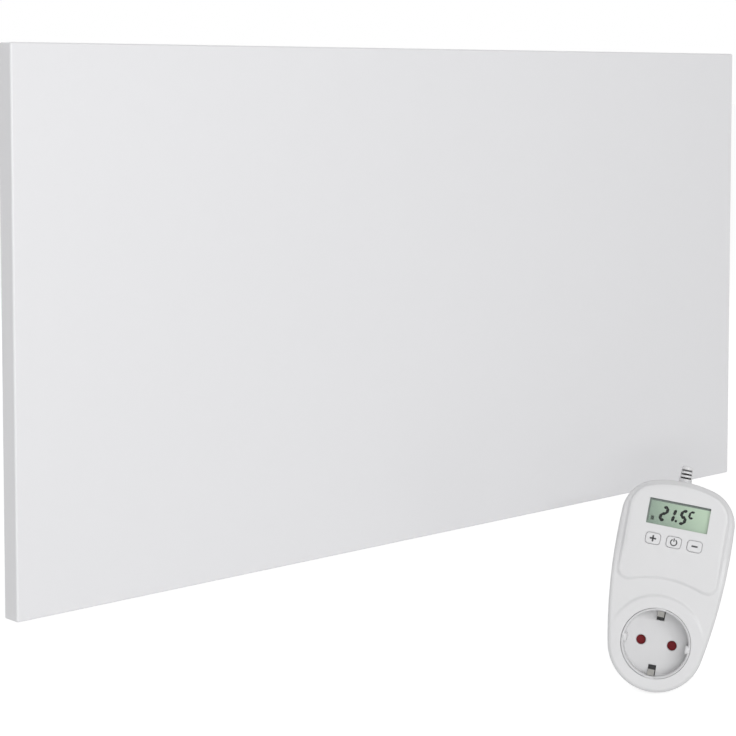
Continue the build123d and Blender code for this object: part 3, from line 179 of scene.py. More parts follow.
# %% Group: orange peel
def make_orange_peel(finer=3.1, finer_share=0.33, slow_scale=9.0):
    """Height = broad ripple + a third of a finer one; roughness and tone drift slowly."""
    group, given, place = new_group("orange_peel", {
        "Ripple Size": 0.0022, "Base Roughness": 0.45, "Roughness Spread": 0.06,
        "Tone Spread": 0.012})
    scale = add_math(group, "DIVIDE", 1.0, given["Ripple Size"])
    broad = add_noise(group, place, scale, 1.0)
    fine = add_noise(group, place, add_math(group, "MULTIPLY", scale, finer), 1.0)
    height = varied(group, broad, finer_share, fine)
    slow = add_math(group, "SUBTRACT", add_noise(group, place, slow_scale, 2.0), 0.5)
    rough = varied(group, given["Base Roughness"], given["Roughness Spread"], slow, clamp=True)
    tone = varied(group, 1.0, given["Tone Spread"], slow)
    return finished_group(group, height, rough, tone)


orange_peel = make_orange_peel()

# %% [markdown]
# **Rolled sheet.** Zinc-coated steel shows two things: crystals of zinc, each a slightly
# different grey, and fine lines along the rolling direction. A Voronoi texture gives each
# crystal a value of its own, and a noise stretched along X gives the lines.

# %% Group: rolled sheet
def make_rolled_sheet(line_scale=1800.0, line_stretch=0.02):
    """Tone = 1 + cell value + stretched noise; roughness = base + cell value."""
    group, given, place = new_group("rolled_sheet", {
        "Crystal Size": 0.006, "Crystal Contrast": 0.12, "Line Contrast": 0.06,
        "Base Roughness": 0.38, "Roughness Spread": 0.15})
    scale = add_math(group, "DIVIDE", 1.0, given["Crystal Size"])
    cells = add_node(group, "TexVoronoi", {"Vector": place, "Scale": scale})
    cell = add_node(group, "SeparateColor", {"Color": cells.outputs["Color"]})
    shade = add_math(group, "SUBTRACT", cell.outputs["Red"], 0.5)
    along_x = stretched(group, place, (line_stretch, 1.0, 1.0))
    lines = add_math(group, "SUBTRACT", add_noise(group, along_x, line_scale, 2.0), 0.5)
    tone = varied(group, 1.0, given["Crystal Contrast"], shade)
    tone = varied(group, tone, given["Line Contrast"], lines)
    rough = varied(group, given["Base Roughness"], given["Roughness Spread"], shade, clamp=True)
    return finished_group(group, lines, rough, tone)


rolled_sheet = make_rolled_sheet()

# %% [markdown]
# **Fibres.** The mineral wool mat is a felt of short fibres. Modelling them would take
# millions of strands on a piece that few will see. Two noises, each drawn out along another
# direction, cross like felt; the same group at another scale gives carbon ink and circuit
# board their faint weave.

# %% Group: crossed fibres
def make_crossed_fibres(drawn_out=0.12, middle_height=0.55, height_shine=0.08):
    """Height = the greater of two noises stretched along X and along Z; tone follows it."""
    group, given, place = new_group("crossed_fibres", {
        "Fibre Width": 0.0006, "Tone Spread": 0.25, "Base Roughness": 0.85})
    scale = add_math(group, "DIVIDE", 1.0, given["Fibre Width"])
    strands = [
        add_noise(group, stretched(group, place, factors), scale, 2.0)
        for factors in ((drawn_out, 1.0, 1.0), (1.0, 1.0, drawn_out))]
    height = add_math(group, "MAXIMUM", *strands)
    above = add_math(group, "SUBTRACT", height, middle_height)
    tone = varied(group, 1.0, given["Tone Spread"], above)
    shine = add_math(group, "MULTIPLY", height, height_shine)
    rough = add_math(group, "SUBTRACT", given["Base Roughness"], shine, clamp=True)
    return finished_group(group, height, rough, tone)


crossed_fibres = make_crossed_fibres()

# %% [markdown]
# ## Materials
# Each record slot gets one material: a Principled shader, one of the groups above with its
# own values, and a Bump node for the height. The group's tone multiplies the base colour
# through a Mix node. Numbers that are the same everywhere, such as metalness, are typed into
# the shader's own sockets, because an exporter drops them when they come down a wire.
# The finishes are rows of a table, so that two of them can be compared at a glance.

# %% A helper that builds one finish
def finish_with(name, group, colour, roughness, bump_mm, knobs=(), settings=(), metallic=0.0):
    """Material from a group: base colour x tone, its roughness, and its height as a bump."""
    material = bpy.data.materials.new(name)
    material.use_nodes = True
    tree = material.node_tree
    knobs = {"Base Roughness": roughness, **dict(knobs)}
    effect = add_node(tree, "Group", knobs, node_tree=group).outputs
    tinted = add_node(
        tree, "Mix", {"Factor": 1.0, "A": (*colour, 1.0), "B": effect["Tone"]},
        data_type="RGBA", blend_type="MULTIPLY")
    inputs = {"Metallic": metallic, **dict(settings),
              "Base Color": tinted.outputs["Result"], "Roughness": effect["Roughness"]}
    if bump_mm:
        bump = add_node(tree, "Bump", {
            "Strength": 1.0, "Distance": bump_mm / 1000, "Height": effect["Height"]})
        inputs["Normal"] = bump.outputs["Normal"]
    shader = tree.nodes["Principled BSDF"]
    for label, value in inputs.items():
        feed(tree, shader.inputs[label], value)
    return material


def srgb(red, green, blue):
    """Linear colour of an 8-bit screen colour v, over 255: v / 12.92 where dark, and
    ((v + 0.055) / 1.055)^2.4 elsewhere, which is the sRGB curve."""
    values = np.array([red, green, blue]) / 255
    raised = ((values + 0.055) / 1.055) ** 2.4
    return tuple(np.where(values <= 0.04045, values / 12.92, raised))


print("a mid screen grey is", round(float(srgb(128, 128, 128)[0]), 3), "in linear light")

# %% A helper that builds a table of finishes
finishes = {}


def add_finishes(table, metallic=0.0):
    """Rows of slot: group, screen colour, roughness, bump in millimetres, other knobs and
    shader settings. A row may end after the bump."""
    for slot, (group, colour, *row) in table.items():
        finishes[slot] = finish_with(slot, group, srgb(*colour), *row, metallic=metallic)
    print(len(table), "finishes:", ", ".join(table))


# %% [markdown]
# **White enamel** is the panel: a cool, nearly neutral white with a satin gloss and a thin
# clear coat. **White plastic** is the thermostat: a shade darker, a little glossier and finely
# grained. Both stay below pure white, so that light can still model their shape.

# %% White finishes
add_finishes({
    "white_enamel": (
        orange_peel, (233, 233, 235), 0.42, 0.010, {},
        {"Coat Weight": 0.15, "Coat Roughness": 0.25}),
    "white_plastic": (
        moulded_grain, (219, 219, 220), 0.36, 0.006,
        {"Grain Size": 0.00035, "Tone Spread": 0.02}, {"IOR": 1.49}),
})

# %% [markdown]
# **Metals** on the back are plain: zinc-coated sheet, bright zinc screws, aluminium rivets,
# nickel contacts and brass sleeves. Metalness is 1 and the grey lives in the base colour.
# Crystals are large on sheet and tiny on screws. Nickel is kept fairly rough, so that the
# earth clips in the socket look bright from most sides and not only where they mirror a lamp.

# %% Metal finishes
add_finishes({
    "grey_zinc": (rolled_sheet, (190, 193, 196), 0.38, 0.004),
    "zinc": (
        rolled_sheet, (205, 207, 210), 0.25, 0.003,
        {"Crystal Size": 0.0008, "Crystal Contrast": 0.08}),
    "aluminium": (
        rolled_sheet, (214, 215, 216), 0.32, 0.003,
        {"Crystal Size": 0.0005, "Crystal Contrast": 0.04}),
    "foil": (
        rolled_sheet, (222, 224, 226), 0.16, 0.02,
        {"Crystal Size": 0.02, "Crystal Contrast": 0.05}),
    "nickel": (
        moulded_grain, (232, 230, 225), 0.34, 0.001,
        {"Grain Size": 0.0009, "Roughness Spread": 0.12}),
    "brass": (
        moulded_grain, (214, 180, 110), 0.28, 0.001,
        {"Grain Size": 0.0007, "Roughness Spread": 0.12}),
    "copper": (
        rolled_sheet, (200, 140, 110), 0.3, 0.002,
        {"Crystal Size": 0.002, "Crystal Contrast": 0.06}),
    "spring_steel": (moulded_grain, (180, 182, 184), 0.24, 0.0, {"Grain Size": 0.0003}),
}, metallic=1.0)

# %% [markdown]
# **Everything else**: black polyamide for the box and gland, rubber, the coloured leads, the
# phenolic cut-outs and the parts on the boards. They differ in colour, grain size and gloss.
# The shutter's dark red gets almost no mirror reflection, because a white studio would
# otherwise turn the two small discs behind the pin holes pink.

# %% Plastic, rubber and board finishes
add_finishes({
    "black_plastic": (
        moulded_grain, (38, 38, 40), 0.5, 0.012, {"Grain Size": 0.0006, "Tone Spread": 0.25}),
    "ivory_plastic": (moulded_grain, (226, 220, 203), 0.45, 0.006, {"Grain Size": 0.0005}),
    "seal_rubber": (
        moulded_grain, (30, 30, 31), 0.75, 0.010, {"Grain Size": 0.0005, "Tone Spread": 0.3}),
    "brown_pvc": (moulded_grain, (105, 62, 36), 0.4, 0.003),
    "blue_pvc": (moulded_grain, (48, 98, 178), 0.4, 0.003),
    "cutout": (
        moulded_grain, (88, 60, 50), 0.55, 0.008, {"Grain Size": 0.0005, "Tone Spread": 0.2}),
    "sensor_epoxy": (
        moulded_grain, (52, 44, 40), 0.3, 0.01, {"Grain Size": 0.0006, "Tone Spread": 0.3}),
    "can_sleeve": (moulded_grain, (44, 50, 70), 0.25, 0.002),
    "film": (
        orange_peel, (212, 190, 140), 0.2, 0.02, {"Ripple Size": 0.012, "Tone Spread": 0.08}),
    "mat": (crossed_fibres, (226, 218, 190), 0.85, 0.25),
    "carbon": (crossed_fibres, (34, 34, 35), 0.7, 0.01, {"Fibre Width": 0.0009}),
    "circuit_board": (crossed_fibres, (34, 110, 72), 0.35, 0.004, {"Fibre Width": 0.0007}),
    "red_plastic": (
        moulded_grain, (118, 28, 34), 0.55, 0.004, {"Grain Size": 0.0004, "Tone Spread": 0.15},
        {"Specular IOR Level": 0.15}),
})

# %% [markdown]
# **The earth lead** is green with yellow stripes that wind round it. A stripe could follow a
# UV map along the lead. A Wave texture is simpler: it gives bands along one direction, and
# crossed with the lead's run they read as the twisted stripe. A Color Ramp turns the wave's
# value into the two colours, which take the place of the plain colour in the Mix node.

# %% Striped insulation
def ramp_colour(material, value, colours, stops=(0.0, 1.0)):
    """Colour between two, by value and where each one stops, fed into the finish's Mix node."""
    tree = material.node_tree
    ramp = add_node(tree, "ValToRGB", {"Fac": value})
    for element, colour, stop in zip(ramp.color_ramp.elements, colours, stops):
        element.position = stop
        element.color = (*colour, 1)
    mix = next(node for node in tree.nodes if node.bl_idname == "ShaderNodeMix")
    tree.links.new(ramp.outputs["Color"], mix.inputs["A"])


def striped_lead(name, wave_scale=120.0):
    """Green and yellow bands from a diagonal wave on Object coordinates."""
    green, yellow = srgb(60, 140, 60), srgb(225, 200, 50)
    material = finish_with(name, moulded_grain, green, 0.4, 0.003)
    tree = material.node_tree
    bands = add_node(tree, "TexWave", {"Vector": object_places(tree), "Scale": wave_scale},
                     bands_direction="DIAGONAL")
    ramp_colour(material, bands.outputs["Fac"], (green, yellow), stops=(0.45, 0.5))
    return material


finishes["green_yellow_pvc"] = striped_lead("green_yellow_pvc")
print("striped lead nodes", len(finishes["green_yellow_pvc"].node_tree.nodes))

# %% [markdown]
# **Where the thermostat stands.** It rests on its round foot and on the edge of its plug boss,
# so it leans back by the angle of that line, and it is rolled a little on the foot. Its own
# directions are worked out once: out of the front, to the side and up. Everything on it is
# then written in the thermostat's own millimetres, from the middle of the socket's rim.

# %% The thermostat's place and directions
foot_radius, boss_radius = 29.0, 18.5
body_depth, boss_length, cover_depth = 38.5, 17.5, 12.0
turn, roll = math.radians(52.75), math.radians(9.25)
lean = math.atan2(foot_radius - boss_radius, body_depth + boss_length - cover_depth)
rim_centre = np.array([76.8, -148.0, -208.6])
out = np.array([
    -math.sin(turn) * math.cos(lean), -math.cos(turn) * math.cos(lean), math.sin(lean)])
level_side = np.array([math.cos(turn), -math.sin(turn), 0.0])
side = level_side * math.cos(roll) - np.cross(out, level_side) * math.sin(roll)
up = np.cross(out, side)


def on_thermostat(points):
    """Places in metres: the rim's centre plus x, y and z along side, up and out."""
    points = np.asarray(points, dtype=float)
    axes = np.array([side, up, out])
    return (rim_centre + points @ axes) / 1000


print("thermostat leans back", round(math.degrees(lean), 2), "degrees")

# %% [markdown]
# **The display** is a reflective liquid-crystal cell: grey-green, and lighter towards its
# upper right corner because the light falls in at a slant. A texture could hold that shade,
# but a Color Ramp along one slanting direction is enough. **The window** in front of it is
# clear plastic. It is made almost wholly see-through by its Alpha, because real refraction
# would keep the lamps' light from the display.

# %% Display and window finishes
glass_front = -3.0
display_ends = [(-19.0, 69.0, glass_front), (19.0, 87.0, glass_front)]  # opposite corners
display_colours = srgb(118, 139, 125), srgb(190, 214, 187)


def along_direction(tree, low, high, direction):
    """(place . direction - low) / (high - low), held between 0 and 1."""
    dot = add_node(tree, "VectorMath", {0: object_places(tree), 1: tuple(direction)},
                   operation="DOT_PRODUCT")
    inputs = {"Value": dot.outputs["Value"], "From Min": low, "From Max": high}
    return add_node(tree, "MapRange", inputs).outputs["Result"]


def display_finish(name):
    """Grey-green ramp from the lower left to the upper right corner of the display."""
    material = finish_with(
        name, moulded_grain, display_colours[1], 0.3, 0.0, {"Tone Spread": 0.02})
    corner_to_corner = side * 0.8 + up * 0.6
    low, high = on_thermostat(display_ends) @ corner_to_corner
    value = along_direction(material.node_tree, low, high, corner_to_corner)
    ramp_colour(material, value, display_colours)
    return material


finishes["display_glass"] = display_finish("display_glass")
finishes["clear_plastic"] = finish_with(
    "clear_plastic", moulded_grain, srgb(235, 240, 238), 0.08, 0.0, settings={"Alpha": 0.02})
print("finishes", len(finishes))

# %% [markdown]
# ## Dressing the CAD nodes
# The record names a slot for each node. Giving the node's own material slot our material is
# enough for flat pieces.

# %% Give each node its finish
slot_of = {entry["node"]: entry["material_slot"] for entry in frame["record"]["subparts"]}
body_of = {
    node: body for body, members in frame["record"]["behaviour"]["bodies"].items()
    for node in members}
for name, thing in nodes.items():
    thing.data.materials.clear()
    thing.data.materials.append(finishes[slot_of[name]])
print("nodes dressed", len(slot_of), "with", len(set(slot_of.values())), "slots")

# %% [markdown]
# **A new piece** needs more than a mesh: a body of the model to move with, the slot that its
# finish comes from, and the nodes that it stands for.

# %% Helpers for new pieces
def mesh_of(name, points, faces):
    """Mesh from an array of corners and a list of faces, each a list of corner numbers."""
    mesh = bpy.data.meshes.new(name)
    mesh.from_pydata(points.tolist(), [], faces)
    return mesh


def placed(name, data):
    """Object around a mesh, a lamp or a camera, in the scene."""
    thing = bpy.data.objects.new(name, data)
    bpy.context.scene.collection.objects.link(thing)
    return thing


def new_piece(name, mesh, body, slot, finish=None, replaced=()):
    """Object around a mesh, on its body, with its finish and what it replaces."""
    mesh.materials.clear()
    mesh.materials.append(finish or finishes[slot])
    thing = placed(name, mesh)
    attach(thing, body)
    if replaced:
        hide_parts(*replaced)
    return thing


def work_in_modifiers(things):
    """Make what each object's modifiers give its own mesh."""
    graph = bpy.context.evaluated_depsgraph_get()
    for thing in things:
        thing.data = bpy.data.meshes.new_from_object(thing.evaluated_get(graph))
        thing.modifiers.clear()


print("bodies with nodes", len(set(body_of.values())))

# %% [markdown]
# **Curved nodes** come in as loose triangles that shade flat, so a copy is merged at its
# corners, told to shade smooth up to a set angle, and shown instead. Smooth shading alone
# would bend the light across a large flat face, because its corners share their normals with
# the bend. A Weighted Normal modifier lets the largest face have its way there, so the panel
# stays flat up to the bend. Its result is then made the mesh's own.

# %% A helper that merges and smooths
def merge_and_smooth(mesh, distance, sharp_angle=None, turn_outwards=False):
    """Join corners nearer than distance; shade smooth but where faces meet above the angle."""
    work = bmesh.new()
    work.from_mesh(mesh)
    bmesh.ops.remove_doubles(work, verts=work.verts, dist=distance)
    if turn_outwards:
        bmesh.ops.recalc_face_normals(work, faces=work.faces)
    work.to_mesh(mesh)
    work.free()
    mesh.shade_smooth()
    if sharp_angle:
        mesh.set_sharp_from_angle(angle=math.radians(sharp_angle))


loose = sum(len(thing.data.vertices) for thing in nodes.values())
print("loose corners in all nodes", loose)

# %% Smooth copies of the curved nodes
def smoothed(name):
    """A merged copy of a node, smooth up to 32 degrees, with normals led by the large faces."""
    mesh = nodes[name].data.copy()
    merge_and_smooth(mesh, distance=2e-6, sharp_angle=32.0)
    thing = new_piece(name + "_smooth", mesh, body_of[name], slot_of[name], replaced=[name])
    by_area = thing.modifiers.new("by_area", "WEIGHTED_NORMAL")
    by_area.keep_sharp = True
    return thing


curved_nodes = [
    "front_panel", "cover_screws", "hanging_rail_left", "hanging_rail_right",
    "blind_rivets", "junction_box", "junction_box_lid", "lid_screws", "wire_grommet",
    "gland_body", "gland_cap", "gland_seal", "gland_locknut", "live_lead", "neutral_lead",
    "link_leads", "earth_lead", "thermal_cutouts", "rear_housing", "housing_screws",
    "button_plus", "button_power", "button_minus", "socket_well", "socket_floor",
    "socket_earth_strap", "shutter", "shutter_retainer", "shutter_spring",
    "contact_sleeves", "plug_pins", "sensor_hood", "room_sensor", "smoothing_capacitor",
    "tact_switches",
]
copies = [smoothed(name) for name in curved_nodes]
work_in_modifiers(copies)
print("smoothed copies", len(copies), "faces", sum(len(copy.data.polygons) for copy in copies))

# %% [markdown]
# ## The thermostat's front cover
# The cover is what the eye goes to: a pebble-shaped moulding with a raised face, a shaded
# step round it, a shallow saddle below, and a soft collar round the socket. It could be
# sculpted or built from lofted patches. Here it is one grid of points. One direction of the
# grid runs round the outline; the other runs from the middle outwards over the front, down
# the side wall and back inside, so that the shell closes on itself with a real thickness.
#
# **The outline** is four arcs that run into each other without a corner: the round foot, a
# long flat side, a shoulder and the crown. A Bezier curve would do for the eye, but an arc
# knows its outward direction exactly, and the rings of the grid are moved along it.

# %% Circles and arcs
def circle_meeting(centre_a, radius_a, centre_b, radius_b):
    """Right-hand crossing of two circles, from the triangle of their centres."""
    apart = np.linalg.norm(centre_b - centre_a)
    along = (apart ** 2 + radius_a ** 2 - radius_b ** 2) / (2 * apart)
    height = math.sqrt(radius_a ** 2 - along ** 2)
    line = (centre_b - centre_a) / apart
    square = np.array([-line[1], line[0]])
    crossings = [centre_a + along * line + sign * height * square for sign in (-1, 1)]
    return max(crossings, key=lambda point: point[0])


def arc(centre, radius, start, end, count):
    """Centre + radius x (cos, sin) from angle start to end, without its last, and normals."""
    angles = np.linspace(start, end, count, endpoint=False)
    normals = np.stack([np.cos(angles), np.sin(angles)], axis=1)
    return centre + radius * normals, normals


def angle_to(centre, point):
    """Direction from centre to point: the arctangent of rise over run."""
    return math.atan2(point[1] - centre[1], point[0] - centre[0])


half_width, widest_height = 34.8, 60.0
crown_height, crown_radius, shoulder_radius = 98.9, 70.0, 22.0
side_radius = (widest_height ** 2 + half_width ** 2 - foot_radius ** 2) / (
    2 * (half_width - foot_radius))
print("radius of the long side", round(side_radius, 1), "mm")

# %% The outline as four arcs and their mirror
foot_centre = np.zeros(2)
side_centre = np.array([half_width - side_radius, widest_height])
crown_centre = np.array([0.0, crown_height - crown_radius])


def outline(count):
    """Points and normals once round: foot, side, shoulder and crown arcs, then their mirror."""
    shoulder = circle_meeting(
        side_centre, side_radius - shoulder_radius, crown_centre, crown_radius - shoulder_radius)
    foot_angle = angle_to(foot_centre, -side_centre)
    top_of_side = angle_to(side_centre, shoulder)
    top_of_shoulder = angle_to(crown_centre, shoulder)
    pieces = [
        (foot_centre, foot_radius, -math.pi / 2, foot_angle),
        (side_centre, side_radius, foot_angle, top_of_side),
        (shoulder, shoulder_radius, top_of_side, top_of_shoulder),
        (crown_centre, crown_radius, top_of_shoulder, math.pi / 2),
    ]
    lengths = np.array([radius * (end - start) for _, radius, start, end in pieces])
    shares = np.maximum(2, np.round(count / 2 * lengths / lengths.sum())).astype(int)
    points, normals = map(np.concatenate, zip(*[
        arc(centre, radius, start, end, share)
        for (centre, radius, start, end), share in zip(pieces, shares)]))
    top = np.array([[0.0, crown_height]])
    flip = np.array([-1.0, 1.0])
    points = np.concatenate([points, top, (points[1:] * flip)[::-1]])
    normals = np.concatenate([normals, [[0.0, 1.0]], (normals[1:] * flip)[::-1]])
    return points, normals


rim_points, rim_normals = outline(count=640)
print("outline points", len(rim_points), "half width", rim_points[:, 0].max().round(2))

# %% [markdown]
# **Height of the front.** The height above the rim plane is a formula in x and y. Distances
# to simple shapes do the work. Inside the raised face the height is nought, with a hair-fine
# bevel towards its edge. Outside, it drops down a steep flank to a ledge, which slopes away
# to the rim, so that a darker band frames the face. Below the face both soften into a
# saddle. A smooth step from 0 to 1 rounds every change.

# %% Smooth steps and the raised face
face_half_width, face_low, face_top = 29.4, 40.0, 95.8
face_bow, face_corner = 7.2, 9.0


def soft_step(value, start, end):
    """0 below start, 1 above end, and 3t^2 - 2t^3 between."""
    t = np.clip((value - start) / (end - start), 0, 1)
    return t * t * (3 - 2 * t)


def rounded_box_distance(x, y, half_x, low, high, radius):
    """Signed distance to a box with rounded corners: negative inside."""
    centre, half_y = (low + high) / 2, (high - low) / 2
    dx, dy = np.abs(x) - half_x + radius, np.abs(y - centre) - half_y + radius
    outside = np.hypot(np.maximum(dx, 0), np.maximum(dy, 0))
    return outside + np.minimum(np.maximum(dx, dy), 0) - radius


def face_distance(x, y):
    """Distance outside the raised face: sides, low edge, bowed top, all with round corners."""
    bow = face_bow * (x / face_half_width) ** 2
    return rounded_box_distance(x, y + bow, face_half_width, face_low, face_top, face_corner)


print("the face's edge is", round(float(-face_distance(0.0, 70.0)), 1), "mm from its middle")

# %% The height formula
ledge_depth, dip_depth = 2.0, 0.9
flank_width, ledge_fall = 1.8, 0.32
chamfer_start, chamfer_drop = -1.6, 0.14
saddle_run, ledge_run, fade_run = (4, 30), (36, 60), (40, 62)
collar_radius = 28.2
collar_run = (collar_radius - 0.6, collar_radius + 1.2)


def front_height(x, y):
    """Minus the bevel, minus the flank down to the ledge, minus its fall; nought on the collar."""
    saddle = dip_depth * soft_step(y, *saddle_run)
    ledge = saddle + (ledge_depth - dip_depth) * soft_step(y, *ledge_run)
    beyond = face_distance(x, y)
    fade = soft_step(y, *fade_run)
    edge = chamfer_drop * soft_step(beyond, chamfer_start, 0.0) * fade
    height = -edge - (ledge - edge) * soft_step(beyond, 0.0, flank_width)
    height = height - ledge_fall * fade * np.maximum(0, beyond - flank_width)
    collar = 1 - soft_step(np.hypot(x, y), *collar_run)
    return height * (1 - collar)


print("depth of saddle and ledge in mm", [
    round(float(-front_height(x, y)), 2) for x, y in ((0.0, 33.0), (32.0, 70.0))])

# %% [markdown]
# **The grid.** Near the edge the rings are the outline moved inwards along its normals, which
# keeps them evenly spaced. Further in they shrink towards a short spine in the middle. The
# nose is a quarter circle. The inside is the same outline, moved in by the wall.

# %% Rings over the front, from the middle outwards
nose_radius, deepest_inset, spine_top = 2.2, 20.0, 72.0
middle_count, border_count, nose_count = 30, 40, 9


def cover_rings():
    """Rings of x and y from the spine out, and the front's rings of x, y and height.

    Middle ring = spine + share x (deepest ring - spine). Border ring = outline - inset x
    normal. The nose drops by r - sqrt(r^2 - (r - inset)^2), a quarter circle of radius r.
    """
    spine_heights = np.clip(rim_points[:, 1], 0, spine_top)
    spine = np.stack([np.zeros(len(rim_points)), spine_heights], axis=1)
    inner = rim_points - deepest_inset * rim_normals
    shares = np.linspace(0, 1, middle_count, endpoint=False)[:, None, None]
    middle = spine + shares * (inner - spine)
    insets = np.concatenate([
        np.linspace(deepest_inset, nose_radius, border_count, endpoint=False),
        nose_radius * (1 - np.sin(np.linspace(0, np.pi / 2, nose_count)))])
    border = rim_points - insets[:, None, None] * rim_normals
    flat = np.concatenate([middle, border])
    past_nose = np.maximum(0, nose_radius - insets)
    drop = np.zeros(len(flat))
    drop[middle_count:] = nose_radius - np.sqrt(
        np.maximum(0, nose_radius ** 2 - past_nose ** 2))
    return middle, np.dstack([flat, front_height(flat[..., 0], flat[..., 1]) - drop[:, None]])


middle_rings, front_rings = cover_rings()
print("front rings", front_rings.shape)

# %% Rings of the wall and the inside
def level_ring(loop, depth):
    """A loop of x and y, all at one depth."""
    return np.column_stack([loop, np.full(len(loop), depth)])


def cover_inside(middle, wall=2.2):
    """Rings of outline - inset x normal, each at its depth: down the side, in by the wall,
    up to the roof, and then the middle rings along the roof to the spine."""
    roof = -(ledge_depth + wall)
    corners = [(0, -cover_depth), (wall, -cover_depth), (wall, roof - 1), (wall + 1, roof),
               (12.0, roof), (deepest_inset, roof)]
    rows = [level_ring(rim_points - inset * rim_normals, depth) for inset, depth in corners]
    rows += [level_ring(ring, roof) for ring in (*middle[::-6], middle[0])]
    return np.array(rows)


cover_grid = np.concatenate([front_rings, cover_inside(middle_rings)])
print("cover grid", cover_grid.shape)

# %% The grid becomes a mesh
def grid_mesh(name, points, sharp_angle=None):
    """Mesh from rings of points: each point, the next in its ring and the same two in the
    ring after make a quad. Each ring is closed, and doubles at the spine are merged."""
    rings, count = points.shape[:2]
    index = np.arange(rings * count).reshape(rings, count)
    ahead = np.roll(index, -1, axis=1)
    quads = np.stack([index[:-1], index[1:], ahead[1:], ahead[:-1]], axis=-1).reshape(-1, 4)
    mesh = mesh_of(name, points.reshape(-1, 3), quads.tolist())
    merge_and_smooth(mesh, distance=1e-6, sharp_angle=sharp_angle, turn_outwards=True)
    return mesh


cover_shell = new_piece(
    "cover_shell", grid_mesh("cover_shell", on_thermostat(cover_grid)), "panel",
    "white_plastic", replaced=["front_cover"])
print("cover faces", len(cover_shell.data.polygons))

# %% [markdown]
# **Openings.** The socket, the display and the three keys show through the cover. Each
# cutter is a profile carried straight through the wall, and a Boolean takes it away. The
# cutters are deleted once the result has been made into a plain mesh.

# %% Profiles of the openings
def rounded_rectangle(centre_x, centre_y, width, height, radius, per_corner=8):
    """Closed loop: each corner's centre + radius x (cos, sin) over a quarter turn."""
    angles = (np.arange(4)[:, None] * 90 + np.linspace(0, 90, per_corner)) * np.pi / 180
    corner_x = np.array([1, -1, -1, 1])[:, None] * (width / 2 - radius)
    corner_y = np.array([1, 1, -1, -1])[:, None] * (height / 2 - radius)
    x = centre_x + corner_x + radius * np.cos(angles)
    y = centre_y + corner_y + radius * np.sin(angles)
    return np.stack([x.ravel(), y.ravel()], axis=1)


socket_opening = 21.15
display_height, window_size = 78.0, (37.4, 15.6)
key_height, key_opening, key_corner = 61.5, (9.4, 7.2), 2.2
key_places = {"plus": -12.7, "power": 0.0, "minus": 12.7}
circle = np.linspace(0, 2 * np.pi, 160, endpoint=False)
opening_loops = {
    "socket": socket_opening * np.stack([np.cos(circle), np.sin(circle)], axis=1),
    "window": rounded_rectangle(0, display_height, *window_size, 0.5),
    **{key: rounded_rectangle(x, key_height, *key_opening, key_corner)
       for key, x in key_places.items()},
}
print("openings", {key: len(loop) for key, loop in opening_loops.items()})

# %% Cut the openings
cutter_back, cutter_front = -8.0, 4.0


def prism_mesh(name, loop):
    """Loop carried from the cutter's back to its front, with both ends closed by one face."""
    count = len(loop)
    points = np.concatenate([level_ring(loop, cutter_back), level_ring(loop, cutter_front)])
    index = np.arange(count)
    ahead = np.roll(index, -1)
    walls = np.stack([index, ahead, ahead + count, index + count], axis=1).tolist()
    return mesh_of(name, on_thermostat(points), [
        *walls, index[::-1].tolist(), (index + count).tolist()])


for label, loop in opening_loops.items():
    cutter = placed("cutter_" + label, prism_mesh("cutter_" + label, loop))
    cutter.data.materials.append(finishes["white_plastic"])
    cut = cover_shell.modifiers.new(cutter.name, "BOOLEAN")
    cut.object = cutter
    cut.solver = "MANIFOLD"
cutters = [cut.object for cut in cover_shell.modifiers]
work_in_modifiers([cover_shell])
cover_shell.data.shade_smooth()
cover_shell.data.set_sharp_from_angle(angle=math.radians(40.0))
for cutter in cutters:
    bpy.data.objects.remove(cutter)
print("cover faces after cutting", len(cover_shell.data.polygons))

# %% [markdown]
# ** The clip slots.** The earth clips spring in and out through two slots that run on into the
# socket's floor. On the real thing one looks through them into the shade inside the housing. A
# small black card right behind each slot is painted shade that stands for that darkness.

# %% Painted shade: cards behind the clip slots
def flat_faces(name, shapes, depth):
    """One mesh of flat faces: each shape is a loop of points at the given depth."""
    ends = np.cumsum([len(shape) for shape in shapes])
    faces = np.split(np.arange(ends[-1]), ends[:-1])
    points = level_ring(np.concatenate(shapes), depth)
    return mesh_of(name, on_thermostat(points), [face.tolist() for face in faces])


floor_back_depth, slot_middle, shade_card_size = -18.3, 17.0, (5.2, 6.2)
shade_card_shapes = [rounded_rectangle(0.0, y, *shade_card_size, radius=0.3, per_corner=3)
               for y in (slot_middle, -slot_middle)]
# The black cards are painted shade. They stand where the inside of the housing is only dark.
slot_shade_cards = new_piece("slot_shade_cards", flat_faces("slot_shade_cards", shade_card_shapes, floor_back_depth),
                       "panel", "black_plastic")
print("cards", len(slot_shade_cards.data.polygons))

# %% [markdown]
# ## The beads on the back cover
# Two long ribs are pressed into the sheet to stiffen it. The solid has them with upright
# sides, but a press leaves sloping flanks and round edges. Each rib is a racetrack of points
# round a straight line. Its height is a smooth step of the distance from that line. It lies
# over the solid's own rib, and its underside is hidden in the sheet.

# %% Pressed beads
cover_back, bead_heights = -20.0, {"upper": 75.0, "lower": 5.0}
bead_half_run, bead_foot, bead_top, bead_rise, hidden_level = 154.0, 9.4, 6.2, 1.22, -0.3


def pressed_bead(middle, around=96):
    """Rings round a line at height middle: the line's end + distance x (cos, sin) in the
    cover's plane, raised by rise x (1 - smooth step of distance, from top to foot)."""
    angles = (np.arange(around) + 0.5) * 2 * np.pi / around
    distance = np.concatenate([
        [0.0, 3.0], np.linspace(bead_top, bead_foot, 10), [bead_foot, 0.0]])
    height = bead_rise * (1 - soft_step(distance, bead_top, bead_foot))
    height[-2:] = hidden_level
    run = np.where(np.cos(angles) > 0, bead_half_run, -bead_half_run)
    x = run + distance[:, None] * np.cos(angles)
    z = middle + distance[:, None] * np.sin(angles)
    y = np.broadcast_to(cover_back + height[:, None], x.shape)
    return np.dstack([x, y, z]) / 1000


